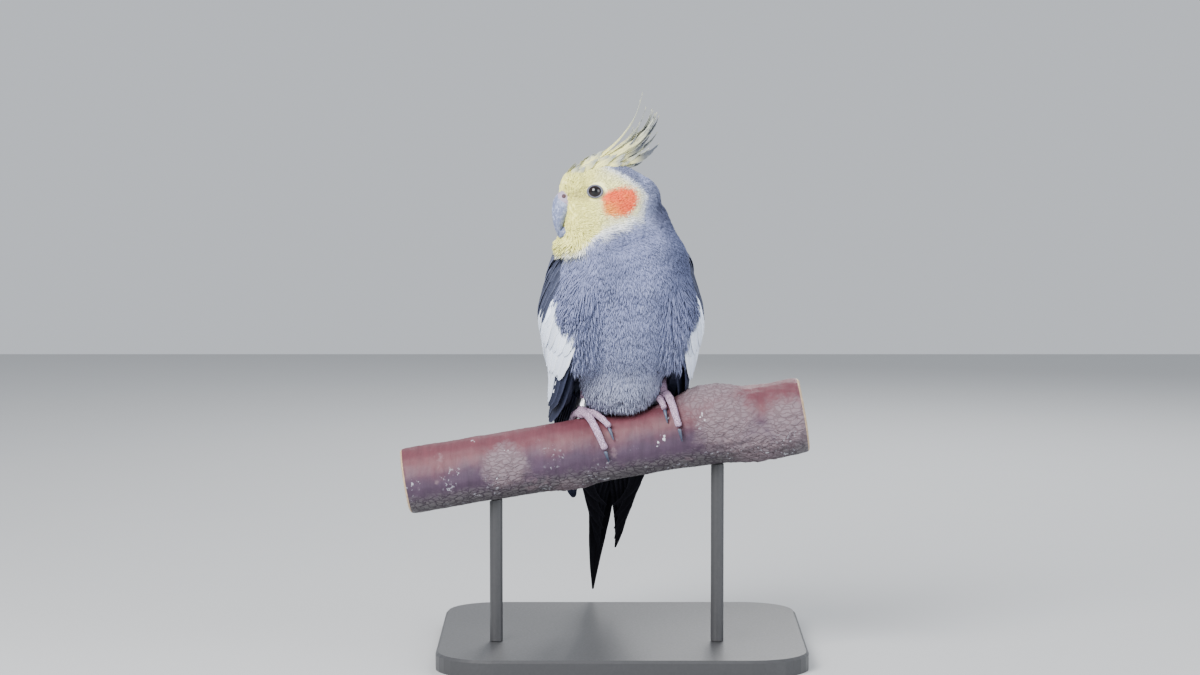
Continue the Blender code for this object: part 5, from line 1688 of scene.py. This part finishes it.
def bark_finish():
    """Red-brown bark: purple below, rough at the knots, and sawn wood at both ends."""
    finish = Finish("perch_bark")
    place = finish.place()
    x, y, z = finish.axes(place)
    fine = finish.noise(place, 260.0, 5.0, 0.6)
    broad = finish.noise(place, 45.0, 3.0, 0.55)
    lengthwise = finish.moved(place, turn=(0, PERCH_RISE, 0), scale=(5.0, 0.7, 0.7))
    ring = finish.noise(lengthwise, 90.0, 4.0, 0.6)
    swirl = finish.noise(place, 150.0, 3.0, 0.5) * 0.006
    bent = finish.add("ShaderNodeVectorMath", {"operation": "ADD"}, {0: place, 1: swirl})
    crack = finish.step(finish.cells(finish.moved(bent, scale=(0.7, 1.0, 1.5)), 380.0),
                        0.02, 0.16)
    axis_height = (z * 1000.0 - BIRD_ORIGIN[2]) - (x * 1000.0) * math.tan(PERCH_RISE)
    colour = finish.blend(ring, (0.060, 0.013, 0.022), (0.130, 0.034, 0.048))
    below = 1 - finish.step(axis_height + (broad - 0.5) * 16.0, -17.0, -7.0)
    plum = finish.blend(ring, (0.022, 0.013, 0.030), (0.065, 0.040, 0.078))
    colour = finish.blend(below * 0.9, colour, plum)
    under = 1 - finish.step(axis_height + (fine - 0.5) * 8.0, -28.0, -20.0)
    dull = finish.blend(crack, (0.045, 0.035, 0.045), (0.13, 0.12, 0.125))
    colour = finish.blend(under * 0.85, colour, dull)
    knot_mask = None
    for where, turn, spread in KNOTS:
        away = finish.add("ShaderNodeVectorMath", {"operation": "DISTANCE"},
                          {0: place, 1: tuple(in_scene(knot_point(where, turn)))}, 1)
        spot = 1 - finish.step(away * 1000.0 + (fine - 0.5) * 12.0, spread * 0.6, spread * 1.35)
        knot_mask = spot if knot_mask is None else finish.largest(knot_mask, spot)
    rough = finish.blend(fine, (0.12, 0.085, 0.10), (0.23, 0.185, 0.21))
    rough = finish.blend((1 - crack) * 0.55, rough, (0.09, 0.055, 0.065))
    colour = finish.blend(knot_mask * 0.92, colour, rough)
    worn = finish.step(broad + (fine - 0.5) * 0.4, 0.60, 0.70)
    colour = finish.blend(worn * 0.4, colour, (0.24, 0.17, 0.19))
    lichen = finish.step(finish.noise(place, 75.0, 2.0, 0.5), 0.52, 0.62) * below
    fleck = finish.step(finish.noise(place, 620.0, 3.0, 0.6), 0.58, 0.66)
    colour = finish.blend(lichen * fleck * 0.85, colour, (0.40, 0.40, 0.46))
    splash = finish.step(finish.noise(place, 150.0, 3.0, 0.5), 0.69, 0.72)
    colour = finish.blend(splash * 0.85, colour, (0.60, 0.60, 0.66))
    reach = (x * (1000.0 * math.cos(PERCH_RISE))
             + (z * 1000.0 - BIRD_ORIGIN[2]) * math.sin(PERCH_RISE))
    axis_drop = PERCH_RADIUS / math.cos(PERCH_RISE)
    end_left, end_right = [
        end * math.cos(PERCH_RISE)
        + (end * math.tan(PERCH_RISE) - axis_drop) * math.sin(PERCH_RISE)
        for end in (PERCH_LEFT, PERCH_RIGHT)]
    sawn = finish.largest(1 - finish.step(reach, end_left + 0.9, end_left + 1.3),
                          finish.step(reach, end_right - 1.3, end_right - 0.9))
    from_pith = ((y * 1000.0) ** 2 + (axis_height + 15.6) ** 2) ** 0.5
    rings_away = finish.size_of(finish.math("SINE", from_pith * 3.2 + fine * 2.0))
    wood = finish.blend(rings_away, (0.36, 0.24, 0.14), (0.52, 0.38, 0.24))
    colour = finish.blend(sawn, colour, wood)
    finish.colour(colour)
    finish.roughness(0.55 + knot_mask * 0.3 + fine * 0.1)
    finish.bump(ring * 0.35 + fine * (0.4 + knot_mask) + crack * (knot_mask + under) * 0.5,
                0.0009, 0.6)
    return finish


paint(perch, bark_finish())
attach(perch, "root")
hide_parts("perch")
print("branch triangles", triangles(perch))

# %% [markdown]
# ## Paint on the stand
# The base and the two rods keep their solids' forms, with softened edges and matt grey paint.

# %% Stand
stand_finish, stand_grain = grained("stand_paint", 900.0, (0.030, 0.031, 0.034),
                                    (0.045, 0.046, 0.050), (0.0001, 0.3), Roughness=0.4)
stand_finish.roughness(0.32 + stand_grain * 0.2)
for node in ("stand_base", "stand_rod_left", "stand_rod_right"):
    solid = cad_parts[node]
    paint(solid, stand_finish)
    round_edges(solid, 0.3)
print("stand painted")

# %% [markdown]
# ## Floor, light and camera
# The photograph is taken from a little above the perch, straight from the front and with a
# long lens. A large soft light from the upper left front models the breast, a wide weak one
# fills from the right, a third one touches the crest from behind, and a pale world keeps the
# dark tail readable.

# %% Stage
def soft_light(name, place, aim, size, power, colour=(1.0, 1.0, 1.0)):
    """A square area light at a place, turned towards a point."""
    lamp = bpy.data.lights.new(name, "AREA")
    lamp.size = size
    lamp.energy = power
    lamp.color = colour
    holder = linked(name, lamp)
    holder.location = place
    holder.rotation_euler = (Vector(aim) - Vector(place)).to_track_quat("-Z", "Y").to_euler()
    return holder


deselect()
bpy.ops.mesh.primitive_plane_add(size=3.0, location=(0.0, 0.0, 0.0))
floor = bpy.context.object
floor.name = "studio_floor"
edit_whole((bpy.ops.mesh.subdivide, {"number_cuts": 3}))
floor_finish = Finish("studio_floor", Roughness=0.85)
speckle = floor_finish.noise(floor_finish.place(), 18.0, 4.0)
floor_finish.colour(floor_finish.blend(speckle * 0.25, (0.42, 0.43, 0.44), (0.38, 0.39, 0.41)))
paint(floor, floor_finish)

AIM = (-0.01, -0.03, 0.15)
soft_light("light_key", (-0.55, -0.85, 0.85), AIM, 0.7, 37.0, (1.0, 0.98, 0.96))
soft_light("light_fill", (0.95, -0.6, 0.45), AIM, 0.8, 11.0, (0.94, 0.96, 1.0))
soft_light("light_rim", (0.25, 0.9, 0.75), AIM, 0.5, 9.0)
world = bpy.data.worlds.new("studio")
world.use_nodes = True
sky = world.node_tree.nodes["Background"]
sky.inputs["Color"].default_value = (0.80, 0.84, 0.90, 1.0)
sky.inputs["Strength"].default_value = 0.8
bpy.context.scene.world = world

TARGET = Vector((0.0, -0.030, 0.115))
CAMERA_DROP = math.radians(5.0)
CAMERA_DISTANCE = 1.6
CAMERA_SIDE = -0.0101
CAMERA_LIFT = 0.0338
LENS, SENSOR = 104.35, 36.0
look = Vector((0.0, math.cos(CAMERA_DROP), -math.sin(CAMERA_DROP)))
camera_up = Vector((0.0, math.sin(CAMERA_DROP), math.cos(CAMERA_DROP)))
lens = bpy.data.cameras.new("camera")
lens.lens = LENS
lens.sensor_width = SENSOR
camera = linked("camera", lens)
camera.location = (TARGET + Vector((CAMERA_SIDE, 0.0, 0.0)) + camera_up * CAMERA_LIFT
                   - look * CAMERA_DISTANCE)
camera.rotation_euler = look.to_track_quat("-Z", "Y").to_euler()
bpy.context.scene.camera = camera
print("camera", [round(value, 3) for value in camera.location])
